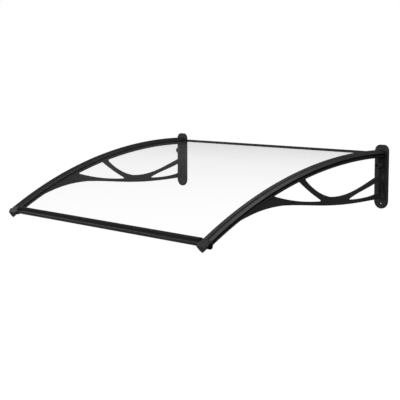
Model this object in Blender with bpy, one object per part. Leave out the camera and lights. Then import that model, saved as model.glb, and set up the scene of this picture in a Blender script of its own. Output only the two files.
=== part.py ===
"""Polycarbonate door canopy: a curved clear sheet on two moulded wall brackets.

X runs along the wall, the wall is the plane Y = 0, the canopy reaches out towards -Y and Z
is up. The origin is the middle of the rear bar's back face. Every size is in metres.

Two coordinates describe the arms. Reach is the distance out from the wall. Level is the
height above the arm's curved underside, measured square to it.
"""

import math

import bmesh
import bpy
from mathutils import Matrix, Vector
from mathutils.geometry import interpolate_bezier

# Overall sizes
ARM_SPACING = 1.000
ARM_REACH = 0.7614
ARC_RADIUS = 1.402
ARC_SETBACK = 0.0226
ARC_STEPS = 26
CLEARANCE = 0.0003

# Arm, sheet and clamp strip
FLANGE_WIDTH = 0.0340
FLANGE_THICKNESS = 0.0052
FLANGE_DROP = 0.0042
FLANGE_UNDERCUT = 0.0040
FLANGE_RADIUS = 0.0012
SPINE_WIDTH = 0.0100
GASKET_THICKNESS = 0.0008
SHEET_THICKNESS = 0.0030
STRIP_WIDTH = 0.0340
STRIP_SIDE_HEIGHT = 0.0021
STRIP_SIDE_RADIUS = 0.0008
STRIP_LOBE_HEIGHT = 0.0107
STRIP_LOBE_OUTER = 0.0110
STRIP_OUTER_RADIUS = 0.0055
STRIP_LOBE_INNER = 0.0062
STRIP_INNER_RADIUS = 0.0034
STRIP_VALLEY_MARGIN = 0.0005
STRIP_VALLEY_DEPTH = 0.0038

# Web below the arm
WEB_THICKNESS = 0.0080
WEB_ROUNDING = 0.0015
WEB_TOP_LEVEL = 0.0070
WEB_DEPTH = 0.1375
CHORD_DEPTH = 0.0180
RIB_DEPTH = 0.0170
WEB_START = 0.0042
RAIL_START = 0.0021
OPENING_MARGIN = 0.0057
TIP_RADIUS = 0.0016
CORNER_RADIUS = 0.0040
CURVE_STEPS = 9

# Wall plate
PLATE_WIDTH = 0.0540
PLATE_HEIGHT = 0.2090
PLATE_RISE = 0.0374
PLATE_THICKNESS = 0.0070
PLATE_TOP_RADIUS = 0.0200
PLATE_BEVEL = 0.0020
BOSS_DROP = 0.0670
BOSS_RADIUS = 0.0100
BOSS_TAPER = 0.0012
BOSS_STAND = 0.0210
BOSS_HOLE = 0.0085
LOWER_HOLE_DROP = 0.1920
LOWER_HOLE = 0.0075
FLARE_RADIUS = 0.0110
FLARE_INSET = 0.0008
STRUT_FLARE_RISE = 0.0040
STRUT_FLARE_SLOPE = 0.3
CHORD_FLARE_SLOPE = 0.1
RIB_FILLET = 0.0045
RIB_FILLET_TOP = 0.0016
RIB_FILLET_MARGIN = 0.0020

# Front head of each bracket
HEAD_WIDTH = 0.0440
HEAD_LENGTH = 0.0242
HEAD_POINT = 0.0062
HEAD_POINT_RADIUS = 0.0015
HEAD_CHEEK_WIDTH = 0.0220
HEAD_CHEEK = 0.0008
HEAD_CHEEK_RADIUS = 0.0040
HEAD_SHOULDER = 0.0125
HEAD_SHOULDER_RADIUS = 0.0030
HEAD_TOP_WIDTH = 0.0310
HEAD_TOP = 0.0196
HEAD_TOP_RADIUS = 0.0040
HEAD_TOP_FALL = 0.85
HEAD_LEAN = 0.30
HEAD_BEVEL = 0.0015
CAP_DIAMETER = 0.0180
CAP_SEAT_STAND = 0.0010
CAP_THICKNESS = 0.0028
CAP_CHAMFER = 0.0015
CAP_CHAMFER_DEPTH = 0.0010
CAP_STEM = 0.0080
CAP_STEM_LENGTH = 0.0070

# Front bar, measured from the middle of the sheet's front edge
SHEET_LAP = 0.0076
BAR_TOP = 0.0150
BAR_TOP_SLOPE = 0.20
BAR_BOTTOM = 0.0096
BAR_HEEL = 0.0063
BAR_HOOD = 0.0050
BAR_RIDGE = 0.0060
BAR_WALL = 0.0025
BAR_SLOT_DEPTH = 0.0120
BAR_RADIUS = 0.0010
BAR_NOSE_RADIUS = 0.0040
BAR_JAW_RADIUS = 0.0006
GUTTER_FLOOR = 0.0018
GUTTER_WIDTH = 0.0091
GUTTER_LIP = 0.0003
GUTTER_LIP_WIDTH = 0.0024
GUTTER_RADIUS = 0.0008
END_SCREW_FORWARD = 0.0066
END_SCREW_DROP = 0.0052

# Rear bar and its seal
REAR_BAR_DEPTH = 0.0120
REAR_BAR_HEIGHT = 0.0060
REAR_BAR_LEVEL = 0.0054
REAR_BAR_RADIUS = 0.0003
SEAL_WIDTH = 0.0042
SEAL_HEIGHT = 0.0018
SEAL_FOOT_RADIUS = 0.0004
SEAL_TOP_RADIUS = 0.0012

# Screws
CLAMP_SCREWS = 5
CLAMP_SCREW_FIRST = 0.0600
CLAMP_SCREW_INSET = 0.0564
SCREW_SHANK = 0.0028
SCREW_HEAD = 0.0050
SCREW_HEAD_HEIGHT = 0.0015
SCREW_HEAD_TAPER = 0.0002
SCREW_POINT = 0.0020
CLAMP_SCREW_END_LEVEL = 0.0012
END_SCREW_LENGTH = 0.0420
ROUND_STEPS = 16

# Levels that follow from the sizes above
GASKET_LEVEL = FLANGE_THICKNESS + CLEARANCE
SHEET_LEVEL = GASKET_LEVEL + GASKET_THICKNESS + CLEARANCE
SHEET_TOP_LEVEL = SHEET_LEVEL + SHEET_THICKNESS
STRIP_LEVEL = SHEET_TOP_LEVEL + CLEARANCE
STRIP_TOP_LEVEL = STRIP_LEVEL + STRIP_LOBE_HEIGHT
VALLEY_LEVEL = STRIP_TOP_LEVEL - STRIP_VALLEY_DEPTH
CROWN_Z = -(REAR_BAR_LEVEL + REAR_BAR_HEIGHT / 2)
PLATE_TOP_Z = CROWN_Z + PLATE_RISE
SHEET_EDGE = SPINE_WIDTH / 2 + CLEARANCE
SHEET_BACK = PLATE_THICKNESS + 2 * CLEARANCE
SHEET_FRONT = ARM_REACH + SHEET_LAP
HEAD_HALF = HEAD_WIDTH / 2
CAP_SEAT = HEAD_HALF + CAP_SEAT_STAND
CUT = 0.002

# Web curves, as (reach, depth below the arm's underside), each a run of Bezier control points.
# Their reaches are shares of the arm's reach, so the openings follow a longer arm.
CHORD_REAR_HANDLES = ((0.28238 * ARM_REACH, 0.1513), (0.41358 * ARM_REACH, 0.1082))
CHORD_WAIST = (0.61268 * ARM_REACH, 0.0524)
CHORD_FRONT_HANDLES = ((0.74862 * ARM_REACH, 0.0191), (0.79656 * ARM_REACH, 0.0154))
CHORD_END = 0.92855 * ARM_REACH
FRONT_TIP = (0.66391 * ARM_REACH, 0.0076)
FRONT_FLOOR_HANDLES = ((0.57710 * ARM_REACH, 0.0514), (0.47925 * ARM_REACH, 0.0840))
FRONT_HEEL = (0.38022 * ARM_REACH, 0.0995)
STRUT_FRONT_HANDLES = ((0.43341 * ARM_REACH, 0.0700), (0.47544 * ARM_REACH, 0.0420))
STRUT_FRONT_TOP = 0.52206 * ARM_REACH
STRUT_REAR_TOP = 0.49120 * ARM_REACH
STRUT_REAR_HANDLES = ((0.45968 * ARM_REACH, 0.0360), (0.40058 * ARM_REACH, 0.0780))
MAIN_FLOOR = (0.33097 * ARM_REACH, 0.0957)
MAIN_FLOOR_HANDLES = ((0.22117 * ARM_REACH, 0.1167), (0.13108 * ARM_REACH, 0.0905))
MAIN_HEEL_DEPTH = 0.0636
REAR_TIP = (0.22328 * ARM_REACH, 0.1215)
REAR_TOP_HANDLES = ((0.09285 * ARM_REACH, 0.1000), (0.15656 * ARM_REACH, 0.1044))
REAR_TOP_DEPTH = 0.0806
REAR_FLOOR_HANDLES = ((0.16443 * ARM_REACH, 0.1300), (0.08011 * ARM_REACH, 0.1307))


# Helpers for shapes along the arm


def angle_at(reach, level=0.0):
    """The angle round the arc's axis of a point at this reach and level."""
    return math.asin((reach - ARC_SETBACK) / (ARC_RADIUS + level))


def arm_point(x, level, angle):
    """The place of a point of the arm's section at an angle round the arc's axis."""
    radius = ARC_RADIUS + level
    out = ARC_SETBACK + radius * math.sin(angle)
    return Vector((x, -out, CROWN_Z - ARC_RADIUS + radius * math.cos(angle)))


def underside_z(reach):
    """The height of the arm's underside at a reach."""
    return arm_point(0.0, 0.0, angle_at(reach)).z


def rounded(corners, steps=3):
    """An outline whose corners, given as (u, v, radius), are arcs of that radius."""
    points = []
    for index, (u, v, radius) in enumerate(corners):
        here = Vector((u, v))
        if not radius:
            points.append(here)
            continue
        back = (Vector(corners[index - 1][:2]) - here).normalized()
        ahead = (Vector(corners[(index + 1) % len(corners)][:2]) - here).normalized()
        half = back.angle(ahead) / 2
        centre = here + (back + ahead).normalized() * (radius / math.sin(half))
        start = here + back * (radius / math.tan(half)) - centre
        end = here + ahead * (radius / math.tan(half)) - centre
        turn = start.angle_signed(end)
        for step in range(steps + 1):
            points.append(centre + Matrix.Rotation(-turn * step / steps, 2) @ start)
    return [point for index, point in enumerate(points) if (point - points[index - 1]).length > 1e-6]


def both_sides(half):
    """A symmetric outline from its +X half, listed from the bottom to the top."""
    return half + [(-u, v, radius) for u, v, radius in reversed(half)]


# Helpers for objects


def make_material(name, colour, roughness, metallic=0.0, transmission=0.0):
    """A plain surface for the solids."""
    material = bpy.data.materials.new(name)
    material.use_nodes = True
    shader = material.node_tree.nodes["Principled BSDF"]
    shader.inputs["Base Color"].default_value = (*colour, 1.0)
    shader.inputs["Roughness"].default_value = roughness
    shader.inputs["Metallic"].default_value = metallic
    shader.inputs["Transmission Weight"].default_value = transmission
    return material


def make_object(name, bm, material=None):
    """An object of the canopy, or a hidden helper where no material is given."""
    bmesh.ops.recalc_face_normals(bm, faces=bm.faces)
    mesh = bpy.data.meshes.new(name)
    bm.to_mesh(mesh)
    bm.free()
    made = bpy.data.objects.new(name, mesh)
    if material is None:
        HELPERS.objects.link(made)
        made.hide_render = True
        made.display_type = "WIRE"
    else:
        CANOPY.objects.link(made)
        mesh.materials.append(material)
        mesh.shade_smooth()
        mesh.set_sharp_from_angle(angle=math.radians(35))
    return made


def combine(target, operation, helpers):
    """Joins helpers to a solid, or cuts them from it. They move with the solid as its children."""
    for helper in helpers:
        modifier = target.modifiers.new(helper.name, "BOOLEAN")
        modifier.operation = operation
        modifier.object = helper
        helper.parent = target


def add_face(bm, points):
    """A face on a closed outline of points in space."""
    return bm.faces.new([bm.verts.new(point) for point in points])


def extrude(bm, face, vector):
    """Draws a face out into a solid."""
    drawn = bmesh.ops.extrude_face_region(bm, geom=[face])["geom"]
    moved = [item for item in drawn if isinstance(item, bmesh.types.BMVert)]
    bmesh.ops.translate(bm, verts=moved, vec=vector)
    return [item for item in drawn if isinstance(item, bmesh.types.BMFace)][0]


def sweep(outline, start, end, steps=ARC_STEPS):
    """A solid that carries an (x, level) outline round the arc from one angle to another."""
    bm = bmesh.new()
    face = add_face(bm, [arm_point(x, level, start) for x, level in outline])
    bmesh.ops.spin(
        bm,
        geom=[face] + face.edges[:] + face.verts[:],
        cent=(0.0, -ARC_SETBACK, CROWN_Z - ARC_RADIUS),
        axis=(1.0, 0.0, 0.0),
        angle=end - start,
        steps=steps,
    )
    return bm


def bar_solid(outline, length):
    """A solid of this length along X, its middle at X = 0, from a (reach, z) outline."""
    bm = bmesh.new()
    face = add_face(bm, [(-length / 2, -reach, z) for reach, z in outline])
    extrude(bm, face, Vector((length, 0.0, 0.0)))
    return bm


def cylinder(diameter, start, end, end_diameter=None):
    """A cylinder or cone between two points."""
    bm = bmesh.new()
    start = Vector(start)
    run = Vector(end) - start
    bmesh.ops.create_cone(
        bm,
        cap_ends=True,
        segments=ROUND_STEPS,
        radius1=diameter / 2,
        radius2=(diameter if end_diameter is None else end_diameter) / 2,
        depth=run.length,
        matrix=Matrix.Translation(start + run / 2) @ run.to_track_quat("Z", "X").to_matrix().to_4x4(),
    )
    return bm


def turned(profile, head, direction):
    """A turned solid from (distance along the axis, radius) points, closed at both ends."""
    bm = bmesh.new()
    ring = [bm.verts.new((radius, 0.0, -along)) for along, radius in profile]
    edges = [bm.edges.new(pair) for pair in zip(ring, ring[1:])]
    bmesh.ops.spin(
        bm,
        geom=ring + edges,
        axis=(0.0, 0.0, 1.0),
        cent=(0.0, 0.0, 0.0),
        angle=math.tau,
        steps=ROUND_STEPS,
        use_merge=True,
    )
    bmesh.ops.remove_doubles(bm, verts=bm.verts, dist=1e-6)
    turn = (-Vector(direction)).to_track_quat("Z", "X").to_matrix().to_4x4()
    bmesh.ops.transform(bm, verts=bm.verts, matrix=Matrix.Translation(head) @ turn)
    return bm


# Web of the bracket


def curve(start, handles, end):
    """Points of one Bezier stretch in (reach, depth), without its last point."""
    stretch = [Vector((*point, 0.0)) for point in (start, *handles, end)]
    return [point.to_2d() for point in interpolate_bezier(*stretch, CURVE_STEPS)][:-1]


def along_arm(first, last, depth):
    """Points at one depth below the arm from one reach to another, without the last."""
    return [Vector((first + (last - first) * i / CURVE_STEPS, depth)) for i in range(CURVE_STEPS)]


def with_radii(points, radii):
    """An outline whose named corners, given as {point index: radius}, are rounded."""
    return rounded([(point.x, point.y, radii.get(index, 0.0)) for index, point in enumerate(points)])


def web_outline():
    """The outer edge of the web, from the wall plate forward along its lower edge and back."""
    heel = (PLATE_THICKNESS, WEB_DEPTH)
    top = -WEB_TOP_LEVEL
    end = (CHORD_END, 0.0)
    lower = curve(heel, CHORD_REAR_HANDLES, CHORD_WAIST) + curve(CHORD_WAIST, CHORD_FRONT_HANDLES, end)
    steps = 2 * CURVE_STEPS
    upper = [Vector((CHORD_END + (WEB_START - CHORD_END) * i / steps, top)) for i in range(steps + 1)]
    return [Vector((WEB_START, WEB_DEPTH))] + lower + [Vector(end)] + upper


def web_openings():
    """The three curved openings of the web."""
    rib = PLATE_THICKNESS + RIB_DEPTH
    margin = OPENING_MARGIN
    front = (
        curve(FRONT_TIP, FRONT_FLOOR_HANDLES, FRONT_HEEL)
        + curve(FRONT_HEEL, STRUT_FRONT_HANDLES, (STRUT_FRONT_TOP, margin))
        + along_arm(STRUT_FRONT_TOP, FRONT_TIP[0], margin)
    )
    main = (
        curve((STRUT_REAR_TOP, margin), STRUT_REAR_HANDLES, MAIN_FLOOR)
        + curve(MAIN_FLOOR, MAIN_FLOOR_HANDLES, (rib, MAIN_HEEL_DEPTH))
        + [Vector((rib, MAIN_HEEL_DEPTH))]
        + along_arm(rib, STRUT_REAR_TOP, margin)
    )
    rear = curve((rib, REAR_TOP_DEPTH), REAR_TOP_HANDLES, REAR_TIP) + curve(
        REAR_TIP, REAR_FLOOR_HANDLES, (rib, WEB_DEPTH - CHORD_DEPTH)
    )
    rear.append(Vector((rib, WEB_DEPTH - CHORD_DEPTH)))
    near = CURVE_STEPS - 1
    return (
        with_radii(front, {0: TIP_RADIUS, near: TIP_RADIUS, 2 * near: CORNER_RADIUS}),
        with_radii(main, {0: CORNER_RADIUS, 2 * near: CORNER_RADIUS, 2 * near + 1: CORNER_RADIUS}),
        with_radii(rear, {0: CORNER_RADIUS, near: TIP_RADIUS, 2 * near: CORNER_RADIUS}),
    )


def build_web(name):
    """The web as a flat outline with openings, its rims rounded, standing in the plane X = 0."""
    flat = bpy.data.curves.new(name, "CURVE")
    flat.dimensions = "2D"
    flat.fill_mode = "BOTH"
    flat.extrude = WEB_THICKNESS / 2 - WEB_ROUNDING
    flat.bevel_depth = WEB_ROUNDING
    flat.bevel_resolution = 1
    flat.offset = -WEB_ROUNDING
    for outline in (web_outline(), *web_openings()):
        spline = flat.splines.new("POLY")
        spline.points.add(len(outline) - 1)
        spline.use_cyclic_u = True
        for point, (reach, depth) in zip(spline.points, outline):
            point.co = (reach, underside_z(reach) - depth, 0.0, 1.0)
    drawn = bpy.data.objects.new(name, flat)
    HELPERS.objects.link(drawn)
    columns = (Vector((0.0, -1.0, 0.0)), Vector((0.0, 0.0, 1.0)), Vector((-1.0, 0.0, 0.0)))
    drawn.matrix_world = Matrix(columns).transposed().to_4x4()
    graph = bpy.context.evaluated_depsgraph_get()
    mesh = bpy.data.meshes.new_from_object(drawn.evaluated_get(graph))
    bm = bmesh.new()
    bm.from_mesh(mesh)
    bmesh.ops.remove_doubles(bm, verts=bm.verts, dist=1e-5)
    bmesh.ops.transform(bm, verts=bm.verts, matrix=drawn.matrix_world)
    bpy.data.objects.remove(drawn)
    bpy.data.meshes.remove(mesh)
    return bm


# Rest of the bracket


def rail_outline():
    """The flange that carries the sheet, with the spine that stands in the sheet's slot."""
    half = FLANGE_WIDTH / 2
    spine = SPINE_WIDTH / 2
    return rounded(
        both_sides(
            [
                (half - FLANGE_UNDERCUT, -FLANGE_DROP, FLANGE_RADIUS),
                (half, FLANGE_THICKNESS, 0.0),
                (spine, FLANGE_THICKNESS, 0.0),
                (spine, SHEET_TOP_LEVEL, 0.0),
            ]
        ),
        steps=2,
    )


def build_plate():
    """The wall plate, round at its bottom end, with a bevelled front rim."""
    half = PLATE_WIDTH / 2
    bottom = PLATE_TOP_Z - PLATE_HEIGHT
    outline = rounded(
        both_sides([(half, bottom, half), (half, PLATE_TOP_Z, PLATE_TOP_RADIUS)]), steps=7
    )
    bm = bmesh.new()
    face = add_face(bm, [(x, 0.0, z) for x, z in outline])
    front = extrude(bm, face, Vector((0.0, -PLATE_THICKNESS, 0.0)))
    bmesh.ops.bevel(
        bm,
        geom=front.edges[:],
        offset=PLATE_BEVEL,
        segments=2,
        profile=0.5,
        affect="EDGES",
        material=-1,
    )
    return bm


def build_flare(radius, top_depth, height, slope):
    """A concave flare from the web's faces out to the plate, sloping with the strut that it ends."""
    half = WEB_THICKNESS / 2
    bm = bmesh.new()
    plan = [Vector((half + radius, -PLATE_THICKNESS + CUT))]
    for step in range(7):
        turn = math.radians(90 * step / 6)
        x = half + radius - (radius + FLARE_INSET) * math.sin(turn)
        plan.append(Vector((x, -PLATE_THICKNESS - radius * (1 - math.cos(turn)))))
    plan += [Vector((-x, y)) for x, y in reversed(plan)]
    top = underside_z(PLATE_THICKNESS) - top_depth
    face = add_face(bm, [(x, y, top) for x, y in plan])
    extrude(bm, face, Vector((0.0, 0.0, -height)))
    for vertex in bm.verts:
        vertex.co.z += (vertex.co.y + PLATE_THICKNESS) * slope
    return bm


def head_outline():
    """The shield shape of the front head, as (x, level)."""
    return rounded(
        both_sides(
            [
                (HEAD_CHEEK_WIDTH / 2, HEAD_CHEEK, HEAD_CHEEK_RADIUS),
                (HEAD_HALF, HEAD_SHOULDER, HEAD_SHOULDER_RADIUS),
                (HEAD_TOP_WIDTH / 2, HEAD_TOP, HEAD_TOP_RADIUS),
            ]
        )
        + [(0.0, -HEAD_POINT, HEAD_POINT_RADIUS)],
        steps=2,
    )


def build_head():
    """The pointed front head. Its front drops at the top, leans out below and has a bevelled rim."""
    start = angle_at(ARM_REACH)
    end = start + HEAD_LENGTH / ARC_RADIUS
    bm = sweep(head_outline(), start, end, steps=1)
    front = min((face for face in bm.faces if len(face.verts) > 4), key=lambda face: face.calc_center_median().y)
    foot = arm_point(0.0, 0.0, end)
    ahead = Vector((0.0, -math.cos(end), -math.sin(end)))
    outward = Vector((0.0, -math.sin(end), math.cos(end)))
    for vertex in front.verts:
        level = (vertex.co - foot).dot(outward)
        fall = max(level - HEAD_SHOULDER, 0.0) * HEAD_TOP_FALL
        vertex.co += ahead * (HEAD_TOP - level + fall) * HEAD_LEAN - outward * fall
    bmesh.ops.bevel(
        bm,
        geom=front.edges[:],
        offset=HEAD_BEVEL,
        segments=2,
        profile=0.5,
        affect="EDGES",
        material=-1,
    )
    return bm


def sheet_rear_angle():
    """The angle of the sheet's rear edge."""
    return angle_at(SHEET_BACK, SHEET_TOP_LEVEL)


def sheet_front_angle():
    """The angle of the sheet's front edge."""
    return angle_at(SHEET_FRONT, (SHEET_LEVEL + SHEET_TOP_LEVEL) / 2)


def sheet_front_middle():
    """The middle of the sheet's front edge, at X = 0."""
    return arm_point(0.0, (SHEET_LEVEL + SHEET_TOP_LEVEL) / 2, sheet_front_angle())


def end_screw_axis():
    """The (y, z) place of the screws that hold the front bar's ends."""
    middle = sheet_front_middle()
    return middle.y - END_SCREW_FORWARD, middle.z - END_SCREW_DROP


def end_screw_angle():
    """The angle round the arc's axis of those screws."""
    y, z = end_screw_axis()
    return math.atan2(-y - ARC_SETBACK, z - CROWN_Z + ARC_RADIUS)


def clamp_screw_angles():
    """The angles of the screws along an arm."""
    run = (ARM_REACH - CLAMP_SCREW_INSET - CLAMP_SCREW_FIRST) / (CLAMP_SCREWS - 1)
    return [angle_at(CLAMP_SCREW_FIRST + run * i) for i in range(CLAMP_SCREWS)]


def build_bracket(name, side, material):
    """One moulded bracket about X = 0, whose outer face looks along side times X."""
    plate_front = -PLATE_THICKNESS
    boss_z = PLATE_TOP_Z - BOSS_DROP
    hole_z = PLATE_TOP_Z - LOWER_HOLE_DROP
    screw_y, screw_z = end_screw_axis()
    seat_face = side * CAP_SEAT
    bar_end_face = -side * HEAD_HALF

    body = make_object(name, build_web(name), material)
    boss_base = 2 * (BOSS_RADIUS + BOSS_TAPER)
    boss_tip = plate_front - BOSS_STAND
    strut_top = MAIN_HEEL_DEPTH - STRUT_FLARE_RISE
    strut_height = REAR_TOP_DEPTH - MAIN_HEEL_DEPTH
    rib_height = WEB_DEPTH - RIB_FILLET_MARGIN
    solids = {
        "rail": sweep(rail_outline(), angle_at(RAIL_START), end_screw_angle()),
        "plate": build_plate(),
        "boss": cylinder(boss_base, (0, plate_front / 2, boss_z), (0, boss_tip, boss_z), 2 * BOSS_RADIUS),
        "rib_fillet": build_flare(RIB_FILLET, RIB_FILLET_TOP, rib_height, 0.0),
        "strut_flare": build_flare(FLARE_RADIUS, strut_top, strut_height, STRUT_FLARE_SLOPE),
        "chord_flare": build_flare(
            FLARE_RADIUS, WEB_DEPTH - CHORD_DEPTH, CHORD_DEPTH - FLARE_INSET, CHORD_FLARE_SLOPE
        ),
        "head": build_head(),
        "cap_seat": cylinder(CAP_DIAMETER, (bar_end_face, screw_y, screw_z), (seat_face, screw_y, screw_z)),
    }
    combine(body, "UNION", [make_object(f"{name}_{key}", bm) for key, bm in solids.items()])

    slot = [
        (-side * SPINE_WIDTH / 2, SHEET_LEVEL - CLEARANCE),
        (-side * (HEAD_HALF + CUT), SHEET_LEVEL - CLEARANCE),
        (-side * (HEAD_HALF + CUT), STRIP_LEVEL),
        (-side * SPINE_WIDTH / 2, STRIP_LEVEL),
    ]
    slot_start = angle_at(ARM_REACH - CUT)
    slot_end = sheet_front_angle() + CLEARANCE / ARC_RADIUS
    outer = side * (CAP_SEAT + CUT)
    stem_floor = side * (CAP_SEAT - CAP_STEM_LENGTH - SCREW_HEAD_HEIGHT - 2 * CLEARANCE)
    stem_hole = CAP_STEM + 2 * CLEARANCE
    screw_hole = SCREW_SHANK + 2 * CLEARANCE
    cutters = {
        "boss_hole": cylinder(BOSS_HOLE, (0, CUT, boss_z), (0, boss_tip - CUT, boss_z)),
        "lower_hole": cylinder(LOWER_HOLE, (0, CUT, hole_z), (0, plate_front - CUT, hole_z)),
        "sheet_slot": sweep(slot, slot_start, slot_end, steps=2),
        "cap_hole": cylinder(stem_hole, (stem_floor, screw_y, screw_z), (outer, screw_y, screw_z)),
        "end_screw_hole": cylinder(screw_hole, (-outer, screw_y, screw_z), (outer, screw_y, screw_z)),
    }
    for index, angle in enumerate(clamp_screw_angles()):
        bottom = arm_point(0.0, CLAMP_SCREW_END_LEVEL - CLEARANCE, angle)
        top = arm_point(0.0, SHEET_TOP_LEVEL + CUT, angle)
        cutters[f"clamp_hole_{index + 1}"] = cylinder(screw_hole, bottom, top)
    combine(body, "DIFFERENCE", [make_object(f"{name}_{key}", bm) for key, bm in cutters.items()])
    body.location.x = side * ARM_SPACING / 2
    return body


# Pieces on each arm


def strip_outline():
    """The clamp strip: two round lobes and between them the valley for the screws."""
    half = STRIP_WIDTH / 2
    valley = SCREW_HEAD / 2 + CLEARANCE + STRIP_VALLEY_MARGIN
    return rounded(
        both_sides(
            [
                (half, STRIP_LEVEL, 0.0),
                (half, STRIP_LEVEL + STRIP_SIDE_HEIGHT, STRIP_SIDE_RADIUS),
                (STRIP_LOBE_OUTER, STRIP_TOP_LEVEL, STRIP_OUTER_RADIUS),
                (STRIP_LOBE_INNER, STRIP_TOP_LEVEL, STRIP_INNER_RADIUS),
                (valley, VALLEY_LEVEL, 0.0),
            ]
        ),
        steps=2,
    )


def build_strip(name, side, material):
    """The strip that clamps the sheet down along one arm, with its screw holes and their seats."""
    start = angle_at(PLATE_THICKNESS + CLEARANCE, STRIP_TOP_LEVEL)
    end = angle_at(ARM_REACH) - CLEARANCE / ARC_RADIUS
    body = make_object(name, sweep(strip_outline(), start, end), material)
    seat = SCREW_HEAD + 2 * CLEARANCE
    hole = SCREW_SHANK + 2 * CLEARANCE
    cutters = []
    for index, angle in enumerate(clamp_screw_angles()):
        top = arm_point(0.0, VALLEY_LEVEL + CUT, angle)
        floor = arm_point(0.0, VALLEY_LEVEL - SCREW_HEAD_HEIGHT - CLEARANCE, angle)
        bottom = arm_point(0.0, STRIP_LEVEL - CUT, angle)
        cutters.append(make_object(f"{name}_seat_{index + 1}", cylinder(seat, floor, top)))
        cutters.append(make_object(f"{name}_hole_{index + 1}", cylinder(hole, bottom, top)))
    combine(body, "DIFFERENCE", cutters)
    body.location.x = side * ARM_SPACING / 2


def build_gasket(name, side, material):
    """The rubber band between the flange and the sheet, on the arm's inner side."""
    inner = -side * SHEET_EDGE
    outer = -side * FLANGE_WIDTH / 2
    top = GASKET_LEVEL + GASKET_THICKNESS
    outline = [(inner, GASKET_LEVEL), (outer, GASKET_LEVEL), (outer, top), (inner, top)]
    start = angle_at(PLATE_THICKNESS + CLEARANCE, top)
    end = angle_at(ARM_REACH) - CLEARANCE / ARC_RADIUS
    body = make_object(name, sweep(outline, start, end), material)
    body.location.x = side * ARM_SPACING / 2


def screw_profile(length):
    """A flat-topped screw with a short point, as (distance, radius)."""
    return [
        (0.0, 0.0),
        (0.0, SCREW_HEAD / 2),
        (SCREW_HEAD_HEIGHT, SCREW_HEAD / 2 - SCREW_HEAD_TAPER),
        (SCREW_HEAD_HEIGHT, SCREW_SHANK / 2),
        (length - SCREW_POINT, SCREW_SHANK / 2),
        (length, 0.0),
    ]


def build_clamp_screws(arm, side, material):
    """The screws down the valley of one strip."""
    length = VALLEY_LEVEL - CLAMP_SCREW_END_LEVEL
    for index, angle in enumerate(clamp_screw_angles()):
        head = arm_point(side * ARM_SPACING / 2, VALLEY_LEVEL, angle)
        inward = Vector((0.0, math.sin(angle), -math.cos(angle)))
        make_object(f"{arm}_clamp_screw_{index + 1}", turned(screw_profile(length), head, inward), material)


def build_front_fixing(arm, side, screw_material, cap_material):
    """The screw into the front bar's end and the push-in cap that hides it."""
    y, z = end_screw_axis()
    outer = ARM_SPACING / 2 + CAP_SEAT
    inward = Vector((-side, 0.0, 0.0))
    head = (side * (outer - CAP_STEM_LENGTH - CLEARANCE), y, z)
    make_object(f"{arm}_end_screw", turned(screw_profile(END_SCREW_LENGTH), head, inward), screw_material)
    stem_end = CAP_THICKNESS + CAP_STEM_LENGTH - CLEARANCE
    profile = [
        (0.0, 0.0),
        (0.0, CAP_DIAMETER / 2 - CAP_CHAMFER),
        (CAP_CHAMFER_DEPTH, CAP_DIAMETER / 2),
        (CAP_THICKNESS, CAP_DIAMETER / 2),
        (CAP_THICKNESS, CAP_STEM / 2),
        (stem_end, CAP_STEM / 2),
        (stem_end, 0.0),
    ]
    face = (side * (outer + CAP_THICKNESS + CLEARANCE), y, z)
    make_object(f"{arm}_end_cap", turned(profile, face, inward), cap_material)


# Sheet and bars


def build_sheet(material):
    """The curved sheet between the two spines."""
    half = ARM_SPACING / 2 - SHEET_EDGE
    outline = [
        (half, SHEET_LEVEL),
        (half, SHEET_TOP_LEVEL),
        (-half, SHEET_TOP_LEVEL),
        (-half, SHEET_LEVEL),
    ]
    make_object("polycarbonate_sheet", sweep(outline, sheet_rear_angle(), sheet_front_angle()), material)


def build_front_bar(material):
    """The gutter bar on the sheet's front edge, with a slot for the sheet and screw ports."""
    middle = sheet_front_middle()
    angle = sheet_front_angle()
    back = Vector((-math.cos(angle), math.sin(angle)))
    up = Vector((math.sin(angle), math.cos(angle)))
    gap = SHEET_THICKNESS / 2 + CLEARANCE
    mouth = back * BAR_SLOT_DEPTH
    floor = -back * CLEARANCE
    front = BAR_WALL + GUTTER_WIDTH + GUTTER_LIP_WIDTH
    ridge = BAR_WALL + BAR_RIDGE
    hood_top = BAR_TOP - (ridge + BAR_HOOD) * BAR_TOP_SLOPE
    corners = [
        (-BAR_HEEL, -BAR_BOTTOM, BAR_RADIUS),
        (front, -BAR_BOTTOM, BAR_NOSE_RADIUS),
        (front, GUTTER_LIP, BAR_RADIUS),
        (front - GUTTER_LIP_WIDTH, GUTTER_LIP, GUTTER_RADIUS),
        (front - GUTTER_LIP_WIDTH, -GUTTER_FLOOR, GUTTER_RADIUS),
        (BAR_WALL, -GUTTER_FLOOR, GUTTER_RADIUS),
        (ridge, BAR_TOP, GUTTER_RADIUS),
        (-BAR_HOOD, hood_top, BAR_RADIUS),
        (*(mouth + up * (gap + BAR_WALL)), BAR_JAW_RADIUS),
        (*(mouth + up * gap), 0.0),
        (*(floor + up * gap), 0.0),
        (*(floor - up * gap), 0.0),
        (*(mouth - up * gap), 0.0),
        (*(mouth - up * (gap + BAR_WALL)), BAR_JAW_RADIUS),
    ]
    outline = [(forward - middle.y, rise + middle.z) for forward, rise in rounded(corners)]
    length = ARM_SPACING - 2 * (HEAD_HALF + CLEARANCE)
    bar = make_object("front_bar", bar_solid(outline, length), material)
    y, z = end_screw_axis()
    reach_in = END_SCREW_LENGTH - (HEAD_HALF + CAP_SEAT - CAP_STEM_LENGTH) + CUT
    ports = []
    for side in (-1, 1):
        port = cylinder(
            SCREW_SHANK + 2 * CLEARANCE,
            (side * (length / 2 + CUT), y, z),
            (side * (length / 2 - reach_in), y, z),
        )
        ports.append(make_object(f"front_bar_port_{side}", port))
    combine(bar, "DIFFERENCE", ports)


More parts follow.
